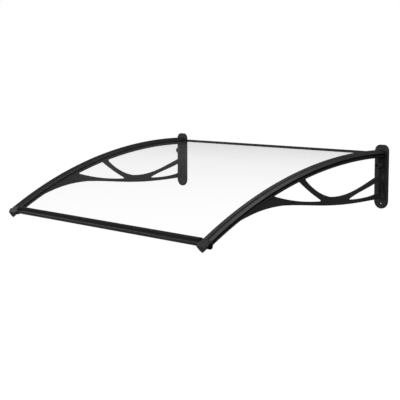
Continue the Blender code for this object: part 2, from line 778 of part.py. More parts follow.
def build_rear_bar(bar_material, seal_material):
    """The bar on the sheet's rear edge and the rubber seal along its top, against the wall."""
    bottom = CROWN_Z + REAR_BAR_LEVEL
    top = bottom + REAR_BAR_HEIGHT
    slot_floor = SHEET_BACK - CLEARANCE
    slot_bottom = arm_point(0.0, SHEET_LEVEL, sheet_rear_angle()).z - CLEARANCE
    slot_top = CROWN_Z + SHEET_TOP_LEVEL + CLEARANCE
    outline = rounded(
        [
            (0.0, bottom, 0.0),
            (REAR_BAR_DEPTH, bottom, REAR_BAR_RADIUS),
            (REAR_BAR_DEPTH, slot_bottom, REAR_BAR_RADIUS),
            (slot_floor, slot_bottom, 0.0),
            (slot_floor, slot_top, 0.0),
            (REAR_BAR_DEPTH, slot_top, REAR_BAR_RADIUS),
            (REAR_BAR_DEPTH, top, REAR_BAR_RADIUS),
            (0.0, top, 0.0),
        ]
    )
    length = ARM_SPACING - PLATE_WIDTH - 2 * CLEARANCE
    make_object("rear_bar", bar_solid(outline, length), bar_material)
    seat = top + CLEARANCE
    bead = rounded(
        [
            (0.0, seat, 0.0),
            (SEAL_WIDTH, seat, SEAL_FOOT_RADIUS),
            (SEAL_WIDTH, seat + SEAL_HEIGHT, SEAL_TOP_RADIUS),
            (0.0, seat + SEAL_HEIGHT, 0.0),
        ]
    )
    make_object("wall_seal", bar_solid(bead, length), seal_material)


def build_canopy():
    """Builds every piece of the canopy."""
    plastic = make_material("black_moulded_plastic", (0.018, 0.018, 0.019), 0.45)
    paint = make_material("black_painted_aluminium", (0.020, 0.020, 0.021), 0.35)
    clear = make_material("clear_polycarbonate", (0.95, 0.97, 0.97), 0.05, transmission=1.0)
    rubber = make_material("black_rubber", (0.012, 0.012, 0.012), 0.75)
    steel = make_material("black_screw_steel", (0.050, 0.050, 0.052), 0.40, metallic=1.0)
    for arm, side in (("left", -1), ("right", 1)):
        build_bracket(f"{arm}_bracket", side, plastic)
        build_strip(f"{arm}_clamp_strip", side, paint)
        build_gasket(f"{arm}_gasket", side, rubber)
        build_clamp_screws(arm, side, steel)
        build_front_fixing(arm, side, steel, plastic)
    build_sheet(clear)
    build_front_bar(paint)
    build_rear_bar(paint, rubber)


for leftover in list(bpy.data.objects):
    bpy.data.objects.remove(leftover)
CANOPY = bpy.data.collections.new("door_canopy")
HELPERS = bpy.data.collections.new("cutters")
bpy.context.scene.collection.children.link(CANOPY)
bpy.context.scene.collection.children.link(HELPERS)
build_canopy()
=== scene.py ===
"""Looks of a polycarbonate door canopy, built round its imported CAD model.

The frame is the CAD model's own: X runs along the wall, the wall is the plane Y = 0, the canopy
reaches out towards -Y and Z is up. The origin is the middle of the rear bar's back face and
every size is in metres.

Two coordinates describe the arms, as in the CAD source. Reach is the distance out from the
wall. Level is the height above the arm's curved underside, measured square to it.
"""

import logging
import math
from collections.abc import Iterable, Sequence
from dataclasses import dataclass
from enum import Enum

import bmesh
import bpy
from mathutils import Matrix, Vector
from mathutils.geometry import interpolate_bezier


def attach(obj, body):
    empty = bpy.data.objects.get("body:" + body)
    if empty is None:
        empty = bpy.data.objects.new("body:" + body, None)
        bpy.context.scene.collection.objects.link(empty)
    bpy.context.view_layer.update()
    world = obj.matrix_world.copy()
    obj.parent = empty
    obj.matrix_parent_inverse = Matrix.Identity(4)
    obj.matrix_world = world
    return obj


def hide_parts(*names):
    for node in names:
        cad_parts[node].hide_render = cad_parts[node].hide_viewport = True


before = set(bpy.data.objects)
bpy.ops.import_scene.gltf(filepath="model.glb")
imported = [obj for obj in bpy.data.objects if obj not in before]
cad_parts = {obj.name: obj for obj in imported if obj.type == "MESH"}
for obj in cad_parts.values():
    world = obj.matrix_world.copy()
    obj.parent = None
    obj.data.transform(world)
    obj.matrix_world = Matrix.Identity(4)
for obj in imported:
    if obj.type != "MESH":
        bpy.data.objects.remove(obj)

log = logging.getLogger("door_canopy")

Corner = tuple[float, float, float]
Point = tuple[float, float]
Colour = tuple[float, float, float]
Outline = Iterable[Sequence[float]]
Solid = bmesh.types.BMesh
Face = bmesh.types.BMFace
Socket = bpy.types.NodeSocket

WELD = 1e-6  # Points nearer than this are one.
PAST = 0.002  # How far a cutter runs past the face that it cuts.
WHITE = (1.0, 1.0, 1.0, 1.0)


class Side(Enum):
    """Which of the two arms a piece belongs to, with the sign of its X."""

    LEFT = -1
    RIGHT = 1

    @property
    def label(self) -> str:
        """The arm's name as the CAD nodes spell it."""
        return self.name.lower()


class Run(Enum):
    """The way a section was drawn, as how its die lines are squeezed along X, Y and Z."""

    ALONG_ARM = (1.0, 0.02, 0.02)
    ALONG_WALL = (0.02, 1.0, 1.0)


# Shared sizes


@dataclass(frozen=True)
class Arm:
    """The arc that both arms and the sheet follow, and the layers that lie on it.

    Attributes:
        radius: Radius of the arm's underside.
        setback: How far the arc's axis stands out from the wall.
        crown_z: Height of the arm's underside where the arc is level.
        reach: Distance from the wall to the back of the front head.
        spacing: Distance between the two arms' middles.
        plate: Thickness of the wall plates.
        clearance: Gap between separate pieces.
        flange: Thickness of the bracket's flange.
        gasket: Thickness of the rubber band.
        sheet: Thickness of the clear sheet.
        strip: Height of the clamp strip's lobes.
        valley_depth: Depth of the valley between the lobes.
        spine: Width of the spine that the sheet's edge lies beside.
    """

    radius: float = 1.402
    setback: float = 0.0226
    crown_z: float = -0.0084
    reach: float = 0.7614
    spacing: float = 1.000
    plate: float = 0.0070
    clearance: float = 0.0003
    flange: float = 0.0052
    gasket: float = 0.0008
    sheet: float = 0.0030
    strip: float = 0.0107
    valley_depth: float = 0.0038
    spine: float = 0.0100

    @property
    def sheet_bottom(self) -> float:
        """Level of the sheet's lower face."""
        return self.flange + self.gasket + 2 * self.clearance

    @property
    def sheet_top(self) -> float:
        """Level of the sheet's upper face."""
        return self.sheet_bottom + self.sheet

    @property
    def strip_bottom(self) -> float:
        """Level of the strip's lower face."""
        return self.sheet_top + self.clearance

    @property
    def strip_top(self) -> float:
        """Level of the strip's lobes."""
        return self.strip_bottom + self.strip

    @property
    def valley(self) -> float:
        """Level of the floor of the strip's valley."""
        return self.strip_top - self.valley_depth

    def angle_at(self, reach: float, level: float = 0.0) -> float:
        """Finds the angle round the arc's axis of a place on the arm.

        Args:
            reach: Distance out from the wall.
            level: Height above the arm's underside.

        Returns:
            The angle in radians, from straight up.
        """
        return math.asin((reach - self.setback) / (self.radius + level))

    def point(self, x: float, level: float, angle: float) -> Vector:
        """Places a point of the arm's section.

        Args:
            x: Place along the wall.
            level: Height above the arm's underside.
            angle: Angle round the arc's axis.

        Returns:
            The point in the row frame.
        """
        radius = self.radius + level
        out = self.setback + radius * math.sin(angle)
        return Vector((x, -out, self.crown_z - self.radius + radius * math.cos(angle)))

    def underside_z(self, reach: float) -> float:
        """Gives the height of the arm's underside at a reach."""
        return self.point(0.0, 0.0, self.angle_at(reach)).z

    def middle(self, side: Side) -> float:
        """Gives the X of one arm's middle."""
        return side.value * self.spacing / 2


@dataclass(frozen=True)
class Fixings:
    """Screws of the canopy.

    Attributes:
        shank: Diameter of every screw's shank.
        head: Diameter of every screw's head.
        head_height: Height of the head.
        head_ease: Chamfer of the head's upper rim.
        head_taper: How much narrower the head's foot is.
        point: Length of the screw's point.
        count: Number of clamp screws on an arm.
        first: Reach of the clamp screw nearest the wall.
        inset: Distance from the clamp screw nearest the head to the arm's end.
        clamp_end: Level at which the clamp screws end.
        socket: Width across the drive socket's corners.
        socket_depth: Depth of the drive socket.
        sides: Number of flats round a turned screw.
    """

    shank: float = 0.0028
    head: float = 0.0050
    head_height: float = 0.0015
    head_ease: float = 0.0003
    head_taper: float = 0.0002
    point: float = 0.0020
    count: int = 5
    first: float = 0.0600
    inset: float = 0.0564
    clamp_end: float = 0.0012
    socket: float = 0.0026
    socket_depth: float = 0.0009
    sides: int = 36

    def angles(self, arm: Arm) -> list[float]:
        """Lists the angles of the clamp screws round the arc.

        Args:
            arm: The arm that they go into.

        Returns:
            One angle for each screw, from the wall outwards.
        """
        run = (arm.reach - self.inset - self.first) / (self.count - 1)
        return [arm.angle_at(self.first + run * index) for index in range(self.count)]


# Drawing tools


def rounded(corners: Sequence[Corner], steps: int) -> list[Vector]:
    """Turns the corners of an outline into arcs.

    Args:
        corners: Corners as (u, v, radius), in order round the outline.
        steps: Number of straight pieces in each arc.

    Returns:
        The outline's points, without doubles.
    """
    points: list[Vector] = []
    for index, (u, v, radius) in enumerate(corners):
        here = Vector((u, v))
        if not radius:
            points.append(here)
            continue
        back = (Vector(corners[index - 1][:2]) - here).normalized()
        ahead = (Vector(corners[(index + 1) % len(corners)][:2]) - here).normalized()
        half = back.angle(ahead) / 2
        centre = here + (back + ahead).normalized() * (radius / math.sin(half))
        start = here + back * (radius / math.tan(half)) - centre
        end = here + ahead * (radius / math.tan(half)) - centre
        turn = start.angle_signed(end)
        points += [
            centre + Matrix.Rotation(-turn * step / steps, 2) @ start
            for step in range(steps + 1)
        ]
    return [p for i, p in enumerate(points) if (p - points[i - 1]).length > WELD]


def mirrored(half: Sequence[Corner]) -> list[Corner]:
    """Completes a symmetric outline from its +X half, listed from bottom to top."""
    return [*half, *((-u, v, radius) for u, v, radius in reversed(half))]


def draw_face(bm: Solid, points: Outline) -> Face:
    """Adds one face on a closed outline in space."""
    return bm.faces.new([bm.verts.new(point) for point in points])


def draw_out(bm: Solid, face: Face, vector: Sequence[float]) -> Face:
    """Extrudes a face into a solid.

    Args:
        bm: The mesh that holds the face.
        face: The face to draw out.
        vector: How far and where to.

    Returns:
        The face at the far end.
    """
    drawn = bmesh.ops.extrude_face_region(bm, geom=[face])["geom"]
    moved = [item for item in drawn if isinstance(item, bmesh.types.BMVert)]
    bmesh.ops.translate(bm, verts=moved, vec=Vector(vector))
    return next(item for item in drawn if isinstance(item, Face))


def ease_rim(bm: Solid, face: Face, offset: float) -> None:
    """Rounds the edges round one face.

    Args:
        bm: The mesh that holds the face.
        face: The face whose rim is rounded.
        offset: How far the rounding reaches on each side of an edge.
    """
    bmesh.ops.bevel(
        bm,
        geom=face.edges[:],
        offset=offset,
        segments=4,
        profile=0.5,
        affect="EDGES",
        material=-1,
    )


def swept(arm: Arm, outline: Outline, start: float, end: float, steps: int) -> Solid:
    """Carries an (x, level) outline round the arm's arc.

    Args:
        arm: The arm whose arc it follows.
        outline: The section's points as (x, level).
        start: Angle of the first section.
        end: Angle of the last section.
        steps: Number of stretches between them.

    Returns:
        A closed solid.
    """
    bm = bmesh.new()
    face = draw_face(bm, [arm.point(x, level, start) for x, level in outline])
    bmesh.ops.spin(
        bm,
        geom=[face, *face.edges, *face.verts],
        cent=(0.0, -arm.setback, arm.crown_z - arm.radius),
        axis=(1.0, 0.0, 0.0),
        angle=end - start,
        steps=steps,
    )
    return bm


def barred(outline: Outline, length: float) -> Solid:
    """Draws a (reach, z) outline out along X, its middle at X = 0.

    Args:
        outline: The section's points as (reach, z).
        length: Length along X.

    Returns:
        A closed solid.
    """
    bm = bmesh.new()
    face = draw_face(bm, [(-length / 2, -reach, z) for reach, z in outline])
    draw_out(bm, face, (length, 0.0, 0.0))
    return bm


def cylinder(
    diameter: float,
    start: Sequence[float],
    end: Sequence[float],
    end_diameter: float | None = None,
    sides: int = 48,
) -> Solid:
    """Makes a cylinder, cone or prism between two points.

    Args:
        diameter: Diameter at the start.
        start: Middle of the first end.
        end: Middle of the second end.
        end_diameter: Diameter at the second end, if it differs.
        sides: Number of flats round it.

    Returns:
        A closed solid.
    """
    bm = bmesh.new()
    run = Vector(end) - Vector(start)
    turn = run.to_track_quat("Z", "X").to_matrix().to_4x4()
    bmesh.ops.create_cone(
        bm,
        cap_ends=True,
        segments=sides,
        radius1=diameter / 2,
        radius2=(diameter if end_diameter is None else end_diameter) / 2,
        depth=run.length,
        matrix=Matrix.Translation(Vector(start) + run / 2) @ turn,
    )
    return bm


def turned(
    profile: Outline, head: Sequence[float], direction: Sequence[float], steps: int
) -> Solid:
    """Spins a profile into a turned solid, closed at both ends.

    Args:
        profile: Points as (distance along the axis, radius), from the head inwards.
        head: Where the axis starts.
        direction: Where the axis points.
        steps: Number of flats round it.

    Returns:
        A closed solid.
    """
    bm = bmesh.new()
    ring = [bm.verts.new((radius, 0.0, -along)) for along, radius in profile]
    edges = [bm.edges.new(pair) for pair in zip(ring, ring[1:])]
    bmesh.ops.spin(
        bm,
        geom=ring + edges,
        axis=(0.0, 0.0, 1.0),
        cent=(0.0, 0.0, 0.0),
        angle=math.tau,
        steps=steps,
        use_merge=True,
    )
    bmesh.ops.remove_doubles(bm, verts=bm.verts, dist=WELD)
    turn = (-Vector(direction)).to_track_quat("Z", "X").to_matrix().to_4x4()
    bmesh.ops.transform(bm, verts=bm.verts, matrix=Matrix.Translation(head) @ turn)
    return bm


def meshed(name: str, bm: Solid) -> bpy.types.Mesh:
    """Turns a bmesh into a mesh and frees it."""
    mesh = bpy.data.meshes.new(name)
    bm.to_mesh(mesh)
    bm.free()
    return mesh


def put_in_scene(name: str, data: bpy.types.ID) -> bpy.types.Object:
    """Makes an object of a mesh, curve, lamp or camera and puts it in the scene."""
    made = bpy.data.objects.new(name, data)
    bpy.context.scene.collection.objects.link(made)
    return made


def evaluated(made: bpy.types.Object) -> Solid:
    """Reads an object's shape as its curve or its modifiers give it."""
    graph = bpy.context.evaluated_depsgraph_get()
    mesh = bpy.data.meshes.new_from_object(made.evaluated_get(graph))
    bm = bmesh.new()
    bm.from_mesh(mesh)
    bpy.data.meshes.remove(mesh)
    return bm


def scratch_object(bm: Solid) -> bpy.types.Object:
    """Puts a solid in the scene for a moment, its faces facing outwards."""
    bmesh.ops.recalc_face_normals(bm, faces=bm.faces)
    return put_in_scene("scratch", meshed("scratch", bm))


def combined(
    base: Solid, added: Iterable[Solid] = (), cut: Iterable[Solid] = ()
) -> Solid:
    """Joins solids to a base and cuts others from it.

    Args:
        base: The solid to start from.
        added: Solids that are joined to it.
        cut: Solids that are then taken out of it.

    Returns:
        The solid that is left.
    """
    target = scratch_object(base)
    helpers = []
    for operation, tools in (("UNION", added), ("DIFFERENCE", cut)):
        for tool in tools:
            helper = scratch_object(tool)
            modifier = target.modifiers.new(operation, "BOOLEAN")
            modifier.operation = operation
            modifier.solver = "EXACT"
            modifier.object = helper
            helpers.append(helper)
    result = evaluated(target)
    for used in (target, *helpers):
        bpy.data.meshes.remove(used.data)
    return result


# Finishes


@dataclass(frozen=True)
class Pattern:
    """A noise pattern of a finish.

    Attributes:
        scale: Number of its patches in a metre.
        detail: Number of finer layers in it.
        roughness: Strength of each finer layer.
        bump: Share of the relief that it gives the surface.
        height: Height of that relief.
    """

    scale: float
    detail: float
    roughness: float = 0.5
    bump: float = 0.0
    height: float = 0.0


class Graph:
    """Adds shader nodes to one material or world."""

    def __init__(self, tree: bpy.types.NodeTree) -> None:
        """Starts from an empty node tree.

        Args:
            tree: The node tree to fill.
        """
        self.tree = tree
        tree.nodes.clear()

    def add(
        self, kind: str, inputs: dict[str | int, object] | None = None, **settings: object
    ) -> bpy.types.Node:
        """Adds a node.

        Args:
            kind: Blender's name for the node.
            inputs: Values or sockets for its inputs.
            **settings: The node's own settings.

        Returns:
            The node.
        """
        node = self.tree.nodes.new(kind)
        for key, value in settings.items():
            setattr(node, key, value)
        for key, value in (inputs or {}).items():
            if isinstance(value, Socket):
                self.tree.links.new(value, node.inputs[key])
            else:
                node.inputs[key].default_value = value
        return node

    def noise(self, pattern: Pattern, squeeze: Corner | None = None) -> Socket:
        """Adds a noise pattern on the piece's own coordinates.

        Args:
            pattern: The pattern.
            squeeze: How it is squeezed along X, Y and Z.

        Returns:
            Its grey value.
        """
        place = self.add("ShaderNodeTexCoord").outputs["Object"]
        if squeeze:
            place = self.add("ShaderNodeMapping", {"Vector": place, "Scale": squeeze}).outputs[0]
        values = {"Scale": pattern.scale, "Detail": pattern.detail, "Roughness": pattern.roughness}
        return self.add("ShaderNodeTexNoise", {"Vector": place, **values}).outputs["Fac"]

    def span(self, value: Socket, source: Point, target: Point) -> Socket:
        """Maps a value from one range to another, smoothly and without going past its ends."""
        inputs = dict(enumerate((value, *source, *target)))
        node = self.add("ShaderNodeMapRange", inputs, interpolation_type="SMOOTHSTEP")
        return node.outputs["Result"]

    def ramp(self, value: Socket, stops: Point, colours: Sequence[Colour]) -> Socket:
        """Turns a value into a colour.

        Args:
            value: The value to read.
            stops: The two values at which the colours stand.
            colours: The colours.

        Returns:
            The colour socket.
        """
        node = self.add("ShaderNodeValToRGB", {"Fac": value})
        for element, place, colour in zip(node.color_ramp.elements, stops, colours):
            element.position = place
            element.color = (*colour, 1.0)
        return node.outputs["Color"]

    def math(self, operation: str, first: object, second: object) -> Socket:
        """Adds a sum of two values and returns its result."""
        return self.add("ShaderNodeMath", {0: first, 1: second}, operation=operation).outputs[0]

    def relief(self, value: Socket, pattern: Pattern, **under: Socket) -> Socket:
        """Raises a pattern from the surface.

        Args:
            value: The pattern's grey value.
            pattern: The pattern.
            **under: The Normal of another relief that it lies on.

        Returns:
            The raised normal.
        """
        inputs = {"Height": value, "Strength": pattern.bump, "Distance": pattern.height, **under}
        return self.add("ShaderNodeBump", inputs).outputs["Normal"]

    def rays(self, *kinds: str) -> Socket:
        """Tells whether a ray is of one of the kinds, as the Light Path node names them."""
        path = self.add("ShaderNodeLightPath").outputs
        found = path[kinds[0]]
        for kind in kinds[1:]:
            found = self.math("MAXIMUM", found, path[kind])
        return found

    def surface(self, **inputs: object) -> Socket:
        """Adds a Principled shader and returns it.

        Args:
            **inputs: Values or sockets, named after the shader's inputs with _ for each space.

        Returns:
            The shader.
        """
        named = {key.replace("_", " "): value for key, value in inputs.items()}
        return self.add("ShaderNodeBsdfPrincipled", named).outputs["BSDF"]


@dataclass(frozen=True)
class Finish:
    """A finish of the canopy, with a material that is made once.

    Attributes:
        name: Name of the material.
        slot: Name of the finish's slot; not used.
    """

    name: str
    slot: str

    def material(self) -> bpy.types.Material:
        """Gives the finish's material, and makes it at its first use."""
        found = bpy.data.materials.get(self.name)
        if found is None:
            found = bpy.data.materials.new(self.name)
            found.use_nodes = True
            graph = Graph(found.node_tree)
            graph.add("ShaderNodeOutputMaterial", {"Surface": self.paint(graph)})
        return found

    def paint(self, graph: Graph) -> Socket:
        """Builds the finish and returns its shader."""
        raise NotImplementedError


@dataclass(frozen=True)
class Coat(Finish):
    """An opaque finish whose colour and gloss vary in patches over a fine relief.

    Attributes:
        patches: Pattern of its colour and gloss.
        relief: Patterns that raise its surface, each laid on the one before.
        deep: Its colour where the pattern is low.
        raised: Its colour where the pattern is high.
        stops: Values of the pattern at which the two colours stand.
        gloss: Roughness where the pattern is low and where it is high.
        spread: Values of the pattern between which the gloss changes.
        grain_share: Share of the relief in the pattern that the colour follows.
        run: Direction in which the first relief is drawn out.
        sheen: Strength of its gloss.
        metallic: Share of it that shines as metal.
        ior: Refractive index.
    """

    patches: Pattern
    relief: tuple[Pattern, ...]
    deep: Colour
    raised: Colour
    stops: Point
    gloss: Point
    spread: Point = (0.30, 0.70)
    grain_share: float = 0.0
    run: Run | None = None
    sheen: float = 0.5
    metallic: float = 0.0
    ior: float = 1.5

    def paint(self, graph: Graph) -> Socket:
        """Builds the finish.

        Args:
            graph: The material's node tree.

        Returns:
            The finish's shader.
        """
        mottle = patches = graph.noise(self.patches)
        squeeze = self.run.value if self.run else None
        under: dict[str, Socket] = {}
        for pattern in self.relief:
            grain = graph.noise(pattern, squeeze)
            under = {"Normal": graph.relief(grain, pattern, **under)}
            squeeze = None
        if self.grain_share:
            flow = graph.math("MULTIPLY", patches, 1.0 - self.grain_share)
            mottle = graph.math("ADD", flow, graph.math("MULTIPLY", grain, self.grain_share))
        return graph.surface(
            Base_Color=graph.ramp(mottle, self.stops, (self.deep, self.raised)),
            Roughness=graph.span(patches, self.spread, self.gloss),
            Specular_IOR_Level=self.sheen,
            Metallic=self.metallic,
            IOR=self.ior,
            **under,
        )


@dataclass(frozen=True)
class MouldedBlack(Coat):
    """Black moulded plastic with a fine spark-eroded grain and a skin that dulls in patches."""

    name: str = "black_moulded_plastic"
    slot: str = "bracket_plastic"
    patches: Pattern = Pattern(9.0, 4.0)
    relief: tuple[Pattern, ...] = (Pattern(1400.0, 3.0, 0.6, bump=0.3, height=0.00004),)
    deep: Colour = (0.019, 0.019, 0.020)
    raised: Colour = (0.033, 0.033, 0.034)
    stops: Point = (0.35, 0.68)
    gloss: Point = (0.44, 0.58)
    spread: Point = (0.35, 0.65)
    grain_share: float = 0.3
    sheen: float = 0.42
    ior: float = 1.49


@dataclass(frozen=True)
class DeepMouldedBlack(MouldedBlack):
    """The same plastic on the end caps, darker in colour as painted shade for their shaded outer
    faces, and with less gloss.
    """

    name: str = "deep_black_plastic"
    # These darker colours are painted shade for the caps' outer faces.
    deep: Colour = (0.003, 0.003, 0.003)
    raised: Colour = (0.006, 0.006, 0.006)
    sheen: float = 0.1


@dataclass(frozen=True)
class PaintedExtrusion(Coat):
    """Black satin paint that ripples a little over the faint die lines of a drawn section."""

    slot: str = "painted_aluminium"
    patches: Pattern = Pattern(12.0, 3.0)
    relief: tuple[Pattern, ...] = (
        Pattern(900.0, 2.0, bump=0.4, height=0.00005),
        Pattern(420.0, 2.0, bump=0.5, height=0.00008),
    )
    deep: Colour = (0.018, 0.018, 0.019)
    raised: Colour = (0.028, 0.028, 0.029)
    stops: Point = (0.30, 0.70)
    gloss: Point = (0.36, 0.46)
    spread: Point = (0.35, 0.65)


@dataclass(frozen=True)
class MattRubber(Coat):
    """Matt black rubber with a fine skin and a bloom in patches."""

    name: str = "black_rubber"
    slot: str = "rubber"
    patches: Pattern = Pattern(30.0, 3.0)
    relief: tuple[Pattern, ...] = (Pattern(700.0, 4.0, bump=0.4, height=0.0001),)
    deep: Colour = (0.008, 0.008, 0.008)
    raised: Colour = (0.016, 0.016, 0.015)
    stops: Point = (0.4, 0.7)
    gloss: Point = (0.68, 0.82)
    sheen: float = 0.3


@dataclass(frozen=True)
class BlackenedSteel(Coat):
    """Black coated screw steel whose coat thins in small patches."""

    name: str = "black_screw_steel"
    slot: str = "screw_steel"
    patches: Pattern = Pattern(650.0, 4.0, 0.6)
    relief: tuple[Pattern, ...] = (Pattern(650.0, 4.0, 0.6, bump=0.3, height=0.00004),)
    deep: Colour = (0.020, 0.020, 0.021)
    raised: Colour = (0.075, 0.075, 0.078)
    stops: Point = (0.45, 0.80)
    gloss: Point = (0.30, 0.46)
    metallic: float = 0.7


@dataclass(frozen=True)
class ClearPolycarbonate(Finish):
    """Clear solid polycarbonate: see-through, greyer at a slant, with a thin gloss.

    Attributes:
        clear: Light that one face lets through where it is seen square on.
        slant: Light that one face lets through where it is seen edge on.
        slant_stops: Slants between which that light changes.
        skin: Colour of the skin that carries the gloss.
        gloss: Share of that skin square on and edge on.
        gloss_stops: Slants between which that share changes.
        polish: Roughness of the skin at its clearest and haziest.
        swell: The panel's slow waviness.
        haze: Pattern of the skin's roughness.
        haze_stops: Values of that pattern between which the roughness changes.
        ior: Refractive index of the skin.
    """

    name: str = "clear_polycarbonate"
    slot: str = "clear_sheet"
    clear: Colour = (0.998, 0.998, 0.999)
    slant: Colour = (0.945, 0.945, 0.947)
    slant_stops: Point = (0.78, 0.97)
    skin: Colour = (0.60, 0.60, 0.61)
    gloss: Point = (0.006, 0.128)
    gloss_stops: Point = (0.55, 0.95)
    polish: Point = (0.020, 0.050)
    swell: Pattern = Pattern(5.0, 1.0, bump=0.3, height=0.0003)
    haze: Pattern = Pattern(60.0, 3.0)
    haze_stops: Point = (0.3, 0.7)
    ior: float = 1.585

    def paint(self, graph: Graph) -> Socket:
        """Builds the finish.

        Args:
            graph: The material's node tree.

        Returns:
            The finish's shader.
        """
        tilt = graph.add("ShaderNodeLayerWeight", {"Blend": 0.5}).outputs["Facing"]
        passed = graph.ramp(tilt, self.slant_stops, (self.clear, self.slant))
        through = graph.add("ShaderNodeBsdfTransparent", {"Color": passed}).outputs["BSDF"]
        skin = graph.surface(
            Base_Color=(*self.skin, 1.0),
            Roughness=graph.span(graph.noise(self.haze), self.haze_stops, self.polish),
            IOR=self.ior,
            Normal=graph.relief(graph.noise(self.swell), self.swell),
        )
        share = graph.span(tilt, self.gloss_stops, self.gloss)
        return graph.add("ShaderNodeMixShader", {0: share, 1: through, 2: skin}).outputs["Shader"]


# Placing


def place_piece(
    name: str,
    bm: Solid,
    finish: Finish,
    nodes: Sequence[str],
    shift: float = 0.0,
    sharp_deg: float = 35.0,
) -> None:
    """Makes a finished piece of the canopy and hangs it on the frame.

    Args:
        name: Name of the piece.
        bm: Its mesh.
        finish: Its finish.
        nodes: The CAD nodes that it stands for.
        shift: How far it is moved along X, in its mesh.
        sharp_deg: Edges that turn by more than this stay crisp.
    """
    bmesh.ops.translate(bm, verts=bm.verts, vec=(shift, 0.0, 0.0))
    bmesh.ops.remove_doubles(bm, verts=bm.verts, dist=WELD)
    bmesh.ops.recalc_face_normals(bm, faces=bm.faces)
    open_edges = sum(not edge.is_manifold for edge in bm.edges)
    mesh = meshed(name, bm)
    mesh.materials.append(finish.material())
    mesh.shade_smooth()
    mesh.set_sharp_from_angle(angle=math.radians(sharp_deg))
    piece = put_in_scene(name, mesh)
    weighted = piece.modifiers.new("even_shading", "WEIGHTED_NORMAL")
    weighted.keep_sharp = True
    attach(piece, "root")
    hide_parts(*nodes)
    log.info("%s: %d faces, %d open edges", name, len(mesh.polygons), open_edges)


def dress(node: str, finish: Finish) -> None:
    """Gives a CAD node that stays in view its finish.

    Args:
        node: The node's name.
        finish: Its finish.
    """
    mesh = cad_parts[node].data
    mesh.materials.clear()
    mesh.materials.append(finish.material())
    log.info("%s: keeps its CAD shape", node)


# Bracket


@dataclass(frozen=True)
class WebCurves:
    """Curves of the web as (reach, depth below the arm's underside).

    Attributes:
        depth: Depth of the web's heel at the wall plate.
        rear_handles: Handles of the lower edge from the heel to its waist.
        waist: Point where the lower edge turns towards the arm.
        front_handles: Handles of the lower edge from the waist to its front end.
        end: Reach at which the lower edge meets the arm.
        rib: Reach of the openings' rear edge.
        margin: Depth of the openings' upper edge.
        front_tip: Sharp end of the front opening.
        front_floor: Handles of the front opening's lower edge.
        front_heel: Rear end of the front opening.
        strut_front: Handles of the middle strut's front edge.
        strut_front_top: Reach of that edge's upper end.
        strut_rear_top: Reach of the strut's rear edge's upper end.
        strut_rear: Handles of the strut's rear edge.
        main_floor: Lowest point of the main opening's front end.
        main_handles: Handles of the main opening's lower edge.
        main_heel: Depth of the main opening at the wall.
        rear_top: Depth of the rear opening's upper corner.
        rear_top_handles: Handles of the rear opening's upper edge.
        rear_tip: Sharp end of the rear opening.
        rear_floor_handles: Handles of the rear opening's lower edge.
        rear_floor: Depth of the rear opening's lower corner.
    """

    depth: float = 0.1375
    rear_handles: tuple[Point, Point] = ((0.2150, 0.1513), (0.3149, 0.1082))
    waist: Point = (0.4665, 0.0524)
    front_handles: tuple[Point, Point] = ((0.5700, 0.0191), (0.6065, 0.0154))
    end: float = 0.7070
    rib: float = 0.0240
    margin: float = 0.0050
    front_tip: Point = (0.5055, 0.0076)
    front_floor: tuple[Point, Point] = ((0.4394, 0.0514), (0.3649, 0.0840))
    front_heel: Point = (0.2895, 0.0995)
    strut_front: tuple[Point, Point] = ((0.3300, 0.0700), (0.3620, 0.0420))
    strut_front_top: float = 0.3975
    strut_rear_top: float = 0.3740
    strut_rear: tuple[Point, Point] = ((0.3500, 0.0360), (0.3050, 0.0780))
    main_floor: Point = (0.2520, 0.0957)
    main_handles: tuple[Point, Point] = ((0.1684, 0.1167), (0.0998, 0.0905))
    main_heel: float = 0.0636
    rear_top: float = 0.0806
    rear_top_handles: tuple[Point, Point] = ((0.0707, 0.1000), (0.1192, 0.1044))
    rear_tip: Point = (0.1700, 0.1215)
    rear_floor_handles: tuple[Point, Point] = ((0.1252, 0.1300), (0.0610, 0.1307))
    rear_floor: float = 0.1195


